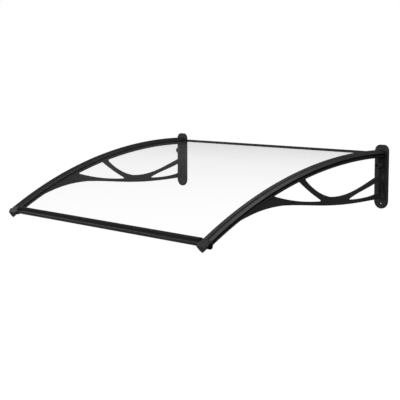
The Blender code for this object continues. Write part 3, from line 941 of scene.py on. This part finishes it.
@dataclass
class Web:
    """The upright web under the arm with its three curved openings.

    Attributes:
        arm: The arm that it stands under.
        curves: The web's curves.
        thickness: Thickness of the web.
        rounding: Rounding of the web's rims.
        root: Reach at which the web starts, inside the wall plate.
        top: Level up to which the web reaches into the rail.
        tip: Radius of the openings' sharp ends.
        corner: Radius of the openings' corners.
        steps: Number of points on each curve.
        corner_steps: Number of straight pieces in each rounded corner.
        seam: Points of the filled outline nearer than this are one.
    """

    arm: Arm
    curves: WebCurves = WebCurves()
    thickness: float = 0.0080
    rounding: float = 0.0015
    root: float = 0.0042
    top: float = 0.0070
    tip: float = 0.0016
    corner: float = 0.0040
    steps: int = 12
    corner_steps: int = 6
    seam: float = 1e-5

    def stretch(self, start: Point, handles: tuple[Point, Point], end: Point) -> list[Vector]:
        """Draws one Bezier stretch.

        Args:
            start: First point as (reach, depth).
            handles: The two handles.
            end: Last point.

        Returns:
            The stretch's points without the last.
        """
        knots = [Vector((*point, 0.0)) for point in (start, *handles, end)]
        return [point.to_2d() for point in interpolate_bezier(*knots, self.steps)][:-1]

    def level_run(self, first: float, last: float, depth: float) -> list[Vector]:
        """Draws points at one depth below the arm, without the last."""
        run = (last - first) / self.steps
        return [Vector((first + run * index, depth)) for index in range(self.steps)]

    def eased(self, points: list[Vector], radii: dict[int, float]) -> list[Vector]:
        """Rounds the outline's corners that are named by their index."""
        corners = [(p.x, p.y, radii.get(i, 0.0)) for i, p in enumerate(points)]
        return rounded(corners, self.corner_steps)

    def rim(self) -> list[Vector]:
        """Draws the web's outer edge.

        Returns:
            The points, from the wall plate forward along the lower edge and back.
        """
        shape = self.curves
        end = (shape.end, 0.0)
        return [
            Vector((self.root, shape.depth)),
            *self.stretch((self.arm.plate, shape.depth), shape.rear_handles, shape.waist),
            *self.stretch(shape.waist, shape.front_handles, end),
            Vector(end),
            *self.level_run(shape.end, self.root, -self.top),
            Vector((self.root, -self.top)),
        ]

    def openings(self) -> list[list[Vector]]:
        """Draws the three openings.

        Returns:
            The front, the main and the rear opening's points.
        """
        shape = self.curves
        margin, rib = shape.margin, shape.rib
        near, tip, corner = self.steps - 1, self.tip, self.corner
        front = [
            *self.stretch(shape.front_tip, shape.front_floor, shape.front_heel),
            *self.stretch(shape.front_heel, shape.strut_front, (shape.strut_front_top, margin)),
            *self.level_run(shape.strut_front_top, shape.front_tip[0], margin),
        ]
        main = [
            *self.stretch((shape.strut_rear_top, margin), shape.strut_rear, shape.main_floor),
            *self.stretch(shape.main_floor, shape.main_handles, (rib, shape.main_heel)),
            Vector((rib, shape.main_heel)),
            *self.level_run(rib, shape.strut_rear_top, margin),
        ]
        rear = [
            *self.stretch((rib, shape.rear_top), shape.rear_top_handles, shape.rear_tip),
            *self.stretch(shape.rear_tip, shape.rear_floor_handles, (rib, shape.rear_floor)),
            Vector((rib, shape.rear_floor)),
        ]
        return [
            self.eased(front, {0: tip, near: tip, 2 * near: corner}),
            self.eased(main, {0: corner, 2 * near: corner, 2 * near + 1: corner}),
            self.eased(rear, {0: corner, near: tip, 2 * near: corner}),
        ]

    def build(self) -> Solid:
        """Fills the outlines as a flat curve with rounded rims and stands it up.

        Returns:
            The web about X = 0, without hidden seams.
        """
        flat = bpy.data.curves.new("web", "CURVE")
        flat.dimensions = "2D"
        flat.fill_mode = "BOTH"
        flat.extrude = self.thickness / 2 - self.rounding
        flat.bevel_depth = self.rounding
        flat.bevel_resolution = 3
        flat.offset = -self.rounding
        for outline in (self.rim(), *self.openings()):
            spline = flat.splines.new("POLY")
            spline.points.add(len(outline) - 1)
            spline.use_cyclic_u = True
            for point, (reach, depth) in zip(spline.points, outline):
                point.co = (reach, self.arm.underside_z(reach) - depth, 0.0, 1.0)
        bm = evaluated(put_in_scene("web", flat))
        bpy.data.curves.remove(flat)
        bmesh.ops.remove_doubles(bm, verts=bm.verts, dist=self.seam)
        stand = Matrix(((0.0, 0.0, -1.0), (-1.0, 0.0, 0.0), (0.0, 1.0, 0.0)))
        bmesh.ops.transform(bm, verts=bm.verts, matrix=stand.to_4x4())
        return bm


@dataclass
class FrontEnd:
    """Where the sheet's front edge and the front bar's end screws sit.

    Attributes:
        arm: The arm that the sheet lies on.
        sheet_front: Reach of the sheet's front edge.
        screw_forward: How far the end screw lies in front of the sheet's edge.
        screw_drop: How far it lies below the edge's middle.
    """

    arm: Arm
    sheet_front: float = 0.7690
    screw_forward: float = 0.0066
    screw_drop: float = 0.0052

    @property
    def middle_level(self) -> float:
        """Level of the sheet's middle plane."""
        return (self.arm.sheet_bottom + self.arm.sheet_top) / 2

    @property
    def angle(self) -> float:
        """Angle of the sheet's front edge."""
        return self.arm.angle_at(self.sheet_front, self.middle_level)

    @property
    def middle(self) -> Vector:
        """Middle of the sheet's front edge, at X = 0."""
        return self.arm.point(0.0, self.middle_level, self.angle)

    @property
    def screw_axis(self) -> tuple[float, float]:
        """The (y, z) place of the end screws."""
        return self.middle.y - self.screw_forward, self.middle.z - self.screw_drop

    @property
    def screw_angle(self) -> float:
        """Angle of the end screws round the arc's axis."""
        y, z = self.screw_axis
        return math.atan2(-y - self.arm.setback, z - self.arm.crown_z + self.arm.radius)


@dataclass
class Bracket:
    """One moulded bracket: wall plate, boss, web, rail and front head.

    Attributes:
        side: The arm that the bracket is.
        arm: The arm's arc and the layers on it.
        fixings: The canopy's screws.
        front: Where the front bar is held.
        plate_size: Width and height of the wall plate.
        plate_rise: How far the plate stands above the arm's crown.
        plate_top_radius: Radius of the plate's upper corners.
        plate_easing: Rounding of the plate's front rim.
        boss_drop: Distance from the plate's top to the boss.
        boss_radius: Radius of the boss at its tip.
        boss_taper: How much wider the boss is at its base.
        boss_stand: How far the boss stands out from the plate.
        boss_hole: Diameter of the hole through the boss.
        lower_drop: Distance from the plate's top to the lower hole.
        lower_hole: Diameter of the lower hole.
        flare: Radius of the struts' flares at the plate.
        rib_fillet: Radius of the fillet along the web's rear edge.
        rib_span: How far that fillet stops below the arm and above the web's heel.
        strut_lift: How far the upper strut's flare starts above the strut.
        foot_lift: How far the lower strut's flare ends above the web's heel.
        falls: Slopes of the upper and the lower strut's flares.
        web_bite: How far the flares reach into the web.
        plate_bite: How far the flares reach into the plate.
        flange_root: Reach at which the flange starts, inside the plate.
        flange_width: Width of the flange.
        flange_drop: How far the flange's sides reach below the arm's underside.
        flange_undercut: How far the flange's sides lean in at their foot.
        flange_round: Radius of that foot.
        head_size: Width and length of the head.
        head_top: Half width and level of the head's top.
        head_cheek: Half width and level at which the head's underside steepens.
        head_shoulder: Level at which the head is widest.
        head_point: How far the head's point hangs below the arm.
        head_fall: Share by which the head's front falls above its shoulder.
        head_lean: How much the head's front leans out towards its point.
        head_rounds: Radii of the head's cheek, shoulder, top and point.
        head_easing: Rounding of the head's front rim.
        cap: Diameter of the seat of the end cap.
        seat_stand: How far that seat stands proud of the head.
        stem: Diameter and length of the cap's stem.
        steps: Number of stretches along the arm.
    """

    side: Side
    arm: Arm
    fixings: Fixings
    front: FrontEnd
    plate_size: Point = (0.0540, 0.2090)
    plate_rise: float = 0.0374
    plate_top_radius: float = 0.0200
    plate_easing: float = 0.0020
    boss_drop: float = 0.0670
    boss_radius: float = 0.0100
    boss_taper: float = 0.0012
    boss_stand: float = 0.0210
    boss_hole: float = 0.0085
    lower_drop: float = 0.1920
    lower_hole: float = 0.0075
    flare: float = 0.0110
    rib_fillet: float = 0.0045
    rib_span: Point = (0.0016, 0.0020)
    strut_lift: float = 0.0040
    foot_lift: float = 0.0005
    falls: Point = (0.3, 0.1)
    web_bite: float = 0.0008
    plate_bite: float = 0.0020
    flange_root: float = 0.0021
    flange_width: float = 0.0340
    flange_drop: float = 0.0036
    flange_undercut: float = 0.0050
    flange_round: float = 0.0012
    head_size: Point = (0.0440, 0.0232)
    head_top: Point = (0.0155, 0.0196)
    head_cheek: Point = (0.0110, 0.0008)
    head_shoulder: float = 0.0125
    head_point: float = 0.0062
    head_fall: float = 0.85
    head_lean: float = 0.30
    head_rounds: tuple[float, ...] = (0.0040, 0.0030, 0.0040, 0.0015)
    head_easing: float = 0.0015
    cap: float = 0.0180
    seat_stand: float = 0.0010
    stem: Point = (0.0080, 0.0070)
    steps: int = 64

    @property
    def plate_top(self) -> float:
        """Height of the plate's top."""
        return self.arm.crown_z + self.plate_rise

    @property
    def plate_front(self) -> float:
        """Y of the plate's front face."""
        return -self.arm.plate

    @property
    def boss_z(self) -> float:
        """Height of the boss's axis."""
        return self.plate_top - self.boss_drop

    @property
    def cap_seat(self) -> float:
        """Distance from the arm's middle to the face that the cap sits on."""
        return self.head_size[0] / 2 + self.seat_stand

    def rail(self) -> Solid:
        """Sweeps the flange and its spine along the arm."""
        half, spine, flange = self.flange_width / 2, self.arm.spine / 2, self.arm.flange
        corners = [
            (half - self.flange_undercut, -self.flange_drop, self.flange_round),
            (half, flange, 0.0),
            (spine, flange, 0.0),
            (spine, self.arm.sheet_top, 0.0),
        ]
        start = self.arm.angle_at(self.flange_root)
        outline = rounded(mirrored(corners), steps=4)
        return swept(self.arm, outline, start, self.front.screw_angle, self.steps)

    def plate(self) -> Solid:
        """Draws the wall plate, round at its lower end."""
        half, top = self.plate_size[0] / 2, self.plate_top
        corners = [(half, top - self.plate_size[1], half), (half, top, self.plate_top_radius)]
        bm = bmesh.new()
        outline = rounded(mirrored(corners), steps=16)
        back = draw_face(bm, [(x, 0.0, z) for x, z in outline])
        front = draw_out(bm, back, (0.0, self.plate_front, 0.0))
        ease_rim(bm, front, self.plate_easing)
        return bm

    def flared(
        self, half: float, radius: float, depth: float, height: float, slope: float = 0.0
    ) -> Solid:
        """Draws a hollow flare from the web's faces out to the plate.

        Args:
            half: Half the web's thickness.
            radius: Radius of the flare in plan.
            depth: Depth of its top below the arm at the plate.
            height: Its height.
            slope: How it falls with the strut that it ends.

        Returns:
            A closed solid.
        """
        wide, steps = half + radius, 12
        plan = [(wide, self.plate_front + self.plate_bite)]
        for step in range(steps + 1):
            turn = math.radians(90 * step / steps)
            x = wide - (radius + self.web_bite) * math.sin(turn)
            plan.append((x, self.plate_front - radius * (1 - math.cos(turn))))
        plan += [(-x, y) for x, y in reversed(plan)]
        top = self.arm.underside_z(self.arm.plate) - depth
        bm = bmesh.new()
        draw_out(bm, draw_face(bm, [(x, y, top) for x, y in plan]), (0.0, 0.0, -height))
        for vertex in bm.verts:
            vertex.co.z += (vertex.co.y - self.plate_front) * slope
        return bm

    def head(self) -> Solid:
        """Sweeps the pointed shield at the arm's front end, leans it out and rounds its rim.

        Returns:
            A closed solid whose flat front falls above its shoulder and leans out below.
        """
        (width, length), top = self.head_size, self.head_top[1]
        shoulder = (width / 2, self.head_shoulder)
        cheek_round, shoulder_round, top_round, point_round = self.head_rounds
        corners = [
            (*self.head_cheek, cheek_round),
            (*shoulder, shoulder_round),
            (*self.head_top, top_round),
        ]
        outline = rounded([*mirrored(corners), (0.0, -self.head_point, point_round)], steps=6)
        start = self.arm.angle_at(self.arm.reach)
        end = start + length / self.arm.radius
        bm = swept(self.arm, outline, start, end, 1)
        ends = [face for face in bm.faces if len(face.verts) > 4]
        front = min(ends, key=lambda face: face.calc_center_median().y)
        foot = self.arm.point(0.0, 0.0, end)
        ahead = Vector((0.0, -math.cos(end), -math.sin(end)))
        outward = Vector((0.0, -math.sin(end), math.cos(end)))
        for vertex in front.verts:
            level = (vertex.co - foot).dot(outward)
            fall = max(level - self.head_shoulder, 0.0) * self.head_fall
            vertex.co += ahead * (top - level + fall) * self.head_lean - outward * fall
        ease_rim(bm, front, self.head_easing)
        return bm

    def solids(self, web: Web) -> list[Solid]:
        """Lists what is joined to the web.

        Args:
            web: The bracket's web.

        Returns:
            One solid for each feature.
        """
        shape, half = web.curves, web.thickness / 2
        strut = shape.rear_top - shape.main_heel
        foot = shape.depth - shape.rear_floor
        below, above = self.rib_span
        lift = self.strut_lift
        boss_radius, z = self.boss_radius, self.boss_z
        side = self.side.value
        screw = self.front.screw_axis
        return [
            self.rail(),
            self.plate(),
            cylinder(
                2 * (boss_radius + self.boss_taper),
                (0.0, self.plate_front / 2, z),
                (0.0, self.plate_front - self.boss_stand, z),
                2 * boss_radius,
            ),
            self.flared(half, self.rib_fillet, below, shape.depth - above),
            self.flared(half, self.flare, shape.main_heel - lift, strut, self.falls[0]),
            self.flared(half, self.flare, shape.rear_floor, foot - self.foot_lift, self.falls[1]),
            self.head(),
            cylinder(
                self.cap, (-side * self.head_size[0] / 2, *screw), (side * self.cap_seat, *screw)
            ),
        ]

    def cutters(self) -> list[Solid]:
        """Lists what is cut from the bracket.

        Returns:
            One solid for each hole and for the slot of the sheet.
        """
        arm, clear, side = self.arm, self.arm.clearance, self.side.value
        hole_z = self.plate_top - self.lower_drop
        tip = self.plate_front - self.boss_stand
        screw = self.front.screw_axis
        inner, outer = -side * arm.spine / 2, -side * (self.head_size[0] / 2 + PAST)
        low, high = arm.sheet_bottom - clear, arm.strip_bottom
        slot = [(inner, low), (outer, low), (outer, high), (inner, high)]
        start = arm.angle_at(arm.reach - PAST)
        end = self.front.angle + clear / arm.radius
        stem, stem_length = self.stem
        floor = self.cap_seat - stem_length - self.fixings.head_height - 2 * clear
        far = self.cap_seat + PAST
        return [
            cylinder(self.boss_hole, (0.0, PAST, self.boss_z), (0.0, tip - PAST, self.boss_z)),
            cylinder(
                self.lower_hole, (0.0, PAST, hole_z), (0.0, self.plate_front - PAST, hole_z)
            ),
            swept(arm, slot, start, end, 3),
            cylinder(stem + 2 * clear, (side * floor, *screw), (side * far, *screw)),
        ]

    def build(self, finish: Finish) -> None:
        """Builds the bracket as one solid.

        Args:
            finish: The bracket's finish.
        """
        web = Web(self.arm)
        bm = combined(web.build(), self.solids(web), self.cutters())
        node = f"{self.side.label}_bracket"
        shift = self.arm.middle(self.side)
        place_piece(f"{node}_moulding", bm, finish, [node], shift, sharp_deg=30.0)


# Pieces on each arm


@dataclass
class ClampStrip:
    """The strip that holds the sheet down along one arm, with its screws.

    Attributes:
        side: The arm that the strip lies on.
        arm: That arm's arc and the layers on it.
        fixings: The canopy's screws.
        width: Width of the strip.
        side_height: Height of the strip's upright sides.
        side_round: Radius of their upper edges.
        outer: Place and radius of each lobe's outer shoulder.
        inner: Place and radius of each lobe's inner shoulder.
        margin: Room between a screw's seat and the valley's wall.
        steps: Number of stretches along the arm.
        seat_sides: Number of flats round a screw's seat.
    """

    side: Side
    arm: Arm
    fixings: Fixings
    width: float = 0.0340
    side_height: float = 0.0021
    side_round: float = 0.0008
    outer: Point = (0.0110, 0.0055)
    inner: Point = (0.0062, 0.0034)
    margin: float = 0.0005
    steps: int = 72
    seat_sides: int = 32

    def outline(self) -> list[Vector]:
        """Draws the section: two round lobes and the screws' valley between them."""
        arm, half = self.arm, self.width / 2
        low, top = arm.strip_bottom, arm.strip_top
        valley = self.fixings.head / 2 + arm.clearance + self.margin
        corners = [
            (half, low, 0.0),
            (half, low + self.side_height, self.side_round),
            (self.outer[0], top, self.outer[1]),
            (self.inner[0], top, self.inner[1]),
            (valley, arm.valley, 0.0),
        ]
        return rounded(mirrored(corners), steps=7)

    def build_strip(self, finish: Finish) -> None:
        """Sweeps the strip and sinks the screws' seats into its valley.

        Args:
            finish: The strip's finish.
        """
        arm, clear = self.arm, self.arm.clearance
        start = arm.angle_at(arm.plate + clear, arm.strip_top)
        end = arm.angle_at(arm.reach) - clear / arm.radius
        floor = arm.valley - self.fixings.head_height - clear
        seats = [
            cylinder(
                self.fixings.head + 2 * clear,
                arm.point(0.0, floor, angle),
                arm.point(0.0, arm.valley + PAST, angle),
                sides=self.seat_sides,
            )
            for angle in self.fixings.angles(arm)
        ]
        bm = combined(swept(arm, self.outline(), start, end, self.steps), cut=seats)
        node = f"{self.side.label}_clamp_strip"
        shift = arm.middle(self.side)
        place_piece(f"{node}_extrusion", bm, finish, [node], shift, sharp_deg=30.0)

    def build_screws(self, finish: Finish) -> None:
        """Turns the screws, each with a six-sided drive socket.

        Args:
            finish: The screws' finish.
        """
        fixings, valley = self.fixings, self.arm.valley
        length = valley - fixings.clamp_end
        radius, shank = fixings.head / 2, fixings.shank / 2
        profile = [
            (0.0, 0.0),
            (0.0, radius - fixings.head_ease),
            (fixings.head_ease, radius),
            (fixings.head_height, radius - fixings.head_taper),
            (fixings.head_height, shank),
            (length - fixings.point, shank),
            (length, 0.0),
        ]
        for index, angle in enumerate(fixings.angles(self.arm), start=1):
            head = self.arm.point(0.0, valley, angle)
            inward = Vector((0.0, math.sin(angle), -math.cos(angle)))
            depth = inward * fixings.socket_depth
            socket = cylinder(fixings.socket, head - depth, head + depth, sides=6)
            bm = combined(turned(profile, head, inward, fixings.sides), cut=[socket])
            node = f"{self.side.label}_clamp_screw_{index}"
            place_piece(f"{node}_turned", bm, finish, [node], self.arm.middle(self.side))


@dataclass
class EndCap:
    """The push-in cap over the front bar's end screw.

    Attributes:
        bracket: The bracket whose head the cap closes.
        thickness: Thickness of the cap's disc.
        crown: How far the disc's face is domed.
        dome: Share of the disc's radius at which the dome ends.
        rim: Rounded rim, as (depth below the dome, share of the radius).
        stem_ease: Chamfer of the stem's end.
        steps: Number of straight pieces in the dome.
        sides: Number of flats round the cap.
    """

    bracket: Bracket
    thickness: float = 0.0028
    crown: float = 0.0009
    dome: float = 0.86
    rim: tuple[Point, Point] = ((0.0003, 0.95), (0.0009, 1.0))
    stem_ease: float = 0.0005
    steps: int = 8
    sides: int = 64

    def build(self, finish: Finish) -> None:
        """Turns the cap with its domed face and stem.

        Args:
            finish: The cap's finish.
        """
        bracket, arm = self.bracket, self.bracket.arm
        side, radius, ease = bracket.side.value, bracket.cap / 2, self.stem_ease
        stem, end = bracket.stem[0] / 2, self.thickness + bracket.stem[1] - arm.clearance
        shares = [index / self.steps for index in range(self.steps + 1)]
        profile = [
            *((self.crown * share**2, radius * self.dome * share) for share in shares),
            *((self.crown + depth, radius * share) for depth, share in self.rim),
            (self.thickness, radius),
            (self.thickness, stem),
            (end - ease, stem),
            (end, stem - ease),
            (end, 0.0),
        ]
        face = arm.spacing / 2 + bracket.cap_seat + self.thickness + arm.clearance
        head = (side * face, *bracket.front.screw_axis)
        node = f"{bracket.side.label}_end_cap"
        bm = turned(profile, head, (-side, 0.0, 0.0), self.sides)
        place_piece(f"{node}_turned", bm, finish, [node], sharp_deg=40.0)


# Sheet and bars


@dataclass
class Sheet:
    """The clear curved sheet between the two arms' spines.

    Attributes:
        front: Where its front edge is, with the arms that it lies on.
        steps: Number of stretches along the arc.
    """

    front: FrontEnd
    steps: int = 96

    def build(self, finish: Finish) -> None:
        """Sweeps the sheet as one curved panel.

        Args:
            finish: The sheet's finish.
        """
        arm, clear = self.front.arm, self.front.arm.clearance
        half = arm.spacing / 2 - arm.spine / 2 - clear
        low, high = arm.sheet_bottom, arm.sheet_top
        outline = [(half, low), (half, high), (-half, high), (-half, low)]
        start = arm.angle_at(arm.plate + 2 * clear, high)
        bm = swept(arm, outline, start, self.front.angle, self.steps)
        place_piece("clear_panel", bm, finish, ["polycarbonate_sheet"])


@dataclass
class FrontBar:
    """The gutter bar along the sheet's front edge.

    Attributes:
        front: Where the sheet's front edge is.
        head_width: Width of the heads that it runs between.
        top: Height of its ridge above the sheet's middle.
        top_slope: Fall of its top from the ridge back.
        bottom: Depth of its underside below the sheet's middle.
        heel: Distance of its rear lower edge behind the sheet's front edge.
        hood: Width of the hood over the slot.
        ridge: How far the ridge overhangs the gutter.
        wall: Thickness of its walls.
        slot_depth: Depth of the slot for the sheet.
        gutter: Width and depth of the gutter's floor.
        lip: Height and width of the gutter's outer lip.
        nose: Radius of its lower front edge.
        edge: Radius of its other outer edges.
        hollow: Radius of the gutter's corners and of the ridge.
        jaw: Radius of the slot's outer corners.
        steps: Number of straight pieces in each rounded corner.
    """

    front: FrontEnd
    head_width: float
    top: float = 0.0157
    top_slope: float = 0.20
    bottom: float = 0.0096
    heel: float = 0.0063
    hood: float = 0.0050
    ridge: float = 0.0060
    wall: float = 0.0025
    slot_depth: float = 0.0120
    gutter: Point = (0.0091, 0.0018)
    lip: Point = (0.0003, 0.0024)
    nose: float = 0.0040
    edge: float = 0.0010
    hollow: float = 0.0008
    jaw: float = 0.0006
    steps: int = 6

    def outline(self) -> list[Vector]:
        """Draws the section as (reach, z).

        Returns:
            The section's points, with its corners rounded.
        """
        arm, angle, middle = self.front.arm, self.front.angle, self.front.middle
        back = Vector((-math.cos(angle), math.sin(angle)))
        up = Vector((math.sin(angle), math.cos(angle)))
        gap = arm.sheet / 2 + arm.clearance
        mouth, floor = back * self.slot_depth, -back * arm.clearance
        gutter_width, gutter_floor = self.gutter
        lip_height, lip_width = self.lip
        inside = self.wall + gutter_width
        outside = inside + lip_width
        ridge = self.wall + self.ridge
        hood_top = self.top - (ridge + self.hood) * self.top_slope
        corners = [
            (-self.heel, -self.bottom, self.edge),
            (outside, -self.bottom, self.nose),
            (outside, lip_height, self.edge),
            (inside, lip_height, self.hollow),
            (inside, -gutter_floor, self.hollow),
            (self.wall, -gutter_floor, self.hollow),
            (ridge, self.top, self.hollow),
            (-self.hood, hood_top, self.edge),
            (*(mouth + up * (gap + self.wall)), self.jaw),
            (*(mouth + up * gap), 0.0),
            (*(floor + up * gap), 0.0),
            (*(floor - up * gap), 0.0),
            (*(mouth - up * gap), 0.0),
            (*(mouth - up * (gap + self.wall)), self.jaw),
        ]
        return [
            Vector((forward - middle.y, rise + middle.z))
            for forward, rise in rounded(corners, self.steps)
        ]

    def build(self, finish: Finish) -> None:
        """Draws the bar out between the two heads.

        Args:
            finish: The bar's finish.
        """
        arm = self.front.arm
        bm = barred(self.outline(), arm.spacing - self.head_width - 2 * arm.clearance)
        place_piece("front_gutter_bar", bm, finish, ["front_bar"])


# Studio


@dataclass(frozen=True)
class Lamp:
    """A soft box.

    Attributes:
        name: Name of the lamp.
        place: Where it hangs.
        aim: What it points at.
        size: Width and height of its face.
        power: Its power in watts.
    """

    name: str
    place: Corner
    aim: Corner
    size: Point
    power: float

    def build(self) -> None:
        """Hangs the lamp."""
        data = bpy.data.lights.new(self.name, "AREA")
        data.shape = "RECTANGLE"
        data.size, data.size_y = self.size
        data.energy = self.power
        lamp = put_in_scene(self.name, data)
        lamp.location = self.place
        down = Vector(self.aim) - Vector(self.place)
        lamp.rotation_euler = down.to_track_quat("-Z", "Y").to_euler()


@dataclass(frozen=True)
class Studio:
    """Camera, floor, soft boxes and a white surround.

    Attributes:
        camera_place: Where the camera stands.
        azimuth_deg: Its bearing round the canopy, from straight in front towards +X.
        elevation_deg: How far it looks down.
        sensor_mm: Width of its sensor.
        lens_mm: Its focal length.
        floor_z: Height of the floor, a door's height below the canopy.
        floor_reach: Half the floor's width.
        floor_colour: Colour of the floor under the lamps.
        floor_glow: What the floor adds to its lit colour where it is seen, so that it is white.
        floor_gloss: What it adds where gloss shows it.
        surround: Strength of the surround's light on matt surfaces.
        horizon: Strength of the surround that gloss shows level with the canopy.
        zenith: Strength of the surround that gloss shows from higher up.
        climb: How far up, from level at 0 to straight up at 1, that strength is reached.
        lamps: The soft boxes.
    """

    camera_place: Corner = (2.55514, -2.60887, 0.22795)
    azimuth_deg: float = 48.536
    elevation_deg: float = 6.635
    sensor_mm: float = 36.0
    lens_mm: float = 90.49
    floor_z: float = -2.1
    floor_reach: float = 30.0
    floor_colour: Colour = (0.80, 0.80, 0.80)
    floor_glow: float = 0.975
    floor_gloss: float = 0.05
    surround: float = 0.03
    horizon: float = 0.16
    zenith: float = 0.18
    climb: float = 0.6
    lamps: tuple[Lamp, ...] = (
        Lamp("front_box", (0.6, -3.8, 0.8), (0.0, -0.35, -0.05), (2.0, 2.0), 40.0),
        Lamp("right_box", (2.3, 0.1, 1.7), (0.0, -0.35, -0.05), (2.0, 2.0), 27.0),
        Lamp("left_box", (-2.8, -2.4, 1.2), (0.0, -0.35, -0.05), (2.0, 2.0), 36.0),
    )

    def build_camera(self) -> None:
        """Stands the camera at the photograph's viewing angle."""
        data = bpy.data.cameras.new("camera")
        data.sensor_width = self.sensor_mm
        data.lens = self.lens_mm
        camera = put_in_scene("camera", data)
        camera.location = self.camera_place
        tilt = math.radians(90.0 - self.elevation_deg)
        camera.rotation_euler = (tilt, 0.0, math.radians(self.azimuth_deg))
        bpy.context.scene.camera = camera

    def build_floor(self) -> None:
        """Lays a pale floor that is white where it is seen and keeps the canopy's shadow."""
        bm = bmesh.new()
        bmesh.ops.create_grid(bm, x_segments=1, y_segments=1, size=self.floor_reach)
        bmesh.ops.translate(bm, verts=bm.verts, vec=(0.0, 0.0, self.floor_z))
        material = bpy.data.materials.new("pale_floor")
        material.use_nodes = True
        graph = Graph(material.node_tree)
        matt = graph.add("ShaderNodeBsdfDiffuse", {"Color": (*self.floor_colour, 1.0)})
        straight = graph.rays("Is Camera Ray", "Is Transmission Ray")
        shown = graph.math("MULTIPLY", straight, self.floor_glow)
        gloss = graph.math("MULTIPLY", graph.rays("Is Glossy Ray"), self.floor_gloss)
        light = graph.add("ShaderNodeEmission", {"Strength": graph.math("ADD", shown, gloss)})
        both = graph.add("ShaderNodeAddShader", {0: matt.outputs[0], 1: light.outputs[0]})
        graph.add("ShaderNodeOutputMaterial", {"Surface": both.outputs[0]})
        mesh = meshed("floor", bm)
        mesh.materials.append(material)
        floor = put_in_scene("floor", mesh)

    def build_surround(self) -> None:
        """Fills the world: white where it is seen, grey in gloss and faint on matt surfaces."""
        world = bpy.data.worlds.new("surround")
        bpy.context.scene.world = world
        world.use_nodes = True
        graph = Graph(world.node_tree)
        bearing = graph.add("ShaderNodeTexCoord").outputs["Generated"]
        height = graph.add("ShaderNodeSeparateXYZ", {0: bearing}).outputs["Z"]
        rise = graph.span(height, (0.0, self.climb), (self.horizon, self.zenith))
        dimmed = graph.math("SUBTRACT", 1.0, rise)
        loss = graph.math("MULTIPLY", graph.rays("Is Glossy Ray"), dimmed)
        white = graph.math("SUBTRACT", 1.0, loss)
        lit = graph.add("ShaderNodeBackground", {"Color": WHITE, "Strength": self.surround})
        shown = graph.add("ShaderNodeBackground", {"Color": WHITE, "Strength": white})
        seen = graph.rays("Is Camera Ray", "Is Glossy Ray", "Is Transmission Ray")
        mixed = graph.add("ShaderNodeMixShader", {0: seen, 1: lit.outputs[0], 2: shown.outputs[0]})
        graph.add("ShaderNodeOutputWorld", {"Surface": mixed.outputs[0]})

    def build(self) -> None:
        """Builds the whole studio."""
        bpy.context.scene.view_settings.view_transform = "Standard"
        self.build_camera()
        self.build_floor()
        self.build_surround()
        for lamp in self.lamps:
            lamp.build()


# Whole scene


def clear_start_scene() -> None:
    """Removes the objects that a new Blender file starts with."""
    for name in ("Cube", "Light", "Camera"):
        if name in bpy.data.objects:
            bpy.data.objects.remove(bpy.data.objects[name])


def main() -> None:
    """Builds the studio and the canopy."""
    logging.basicConfig(level=logging.INFO, format="%(name)s: %(message)s")
    clear_start_scene()
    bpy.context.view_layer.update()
    Studio().build()

    arm, fixings = Arm(), Fixings()
    front = FrontEnd(arm)
    plastic, rubber, steel = MouldedBlack(), MattRubber(), BlackenedSteel()
    arm_paint = PaintedExtrusion("black_paint_along_arm", run=Run.ALONG_ARM)
    bar_paint = PaintedExtrusion("black_paint_along_wall", run=Run.ALONG_WALL)
    for side in Side:
        bracket = Bracket(side, arm, fixings, front)
        bracket.build(plastic)
        # The end caps take the bracket plastic darkened as painted shade.
        EndCap(bracket).build(DeepMouldedBlack())
        strip = ClampStrip(side, arm, fixings)
        strip.build_strip(arm_paint)
        strip.build_screws(steel)
        dress(f"{side.label}_gasket", rubber)
        dress(f"{side.label}_end_screw", steel)
    Sheet(front).build(ClearPolycarbonate())
    FrontBar(front, Bracket.head_size[0]).build(bar_paint)
    dress("rear_bar", bar_paint)
    dress("wall_seal", rubber)

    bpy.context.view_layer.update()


if __name__ == "__main__":
    main()
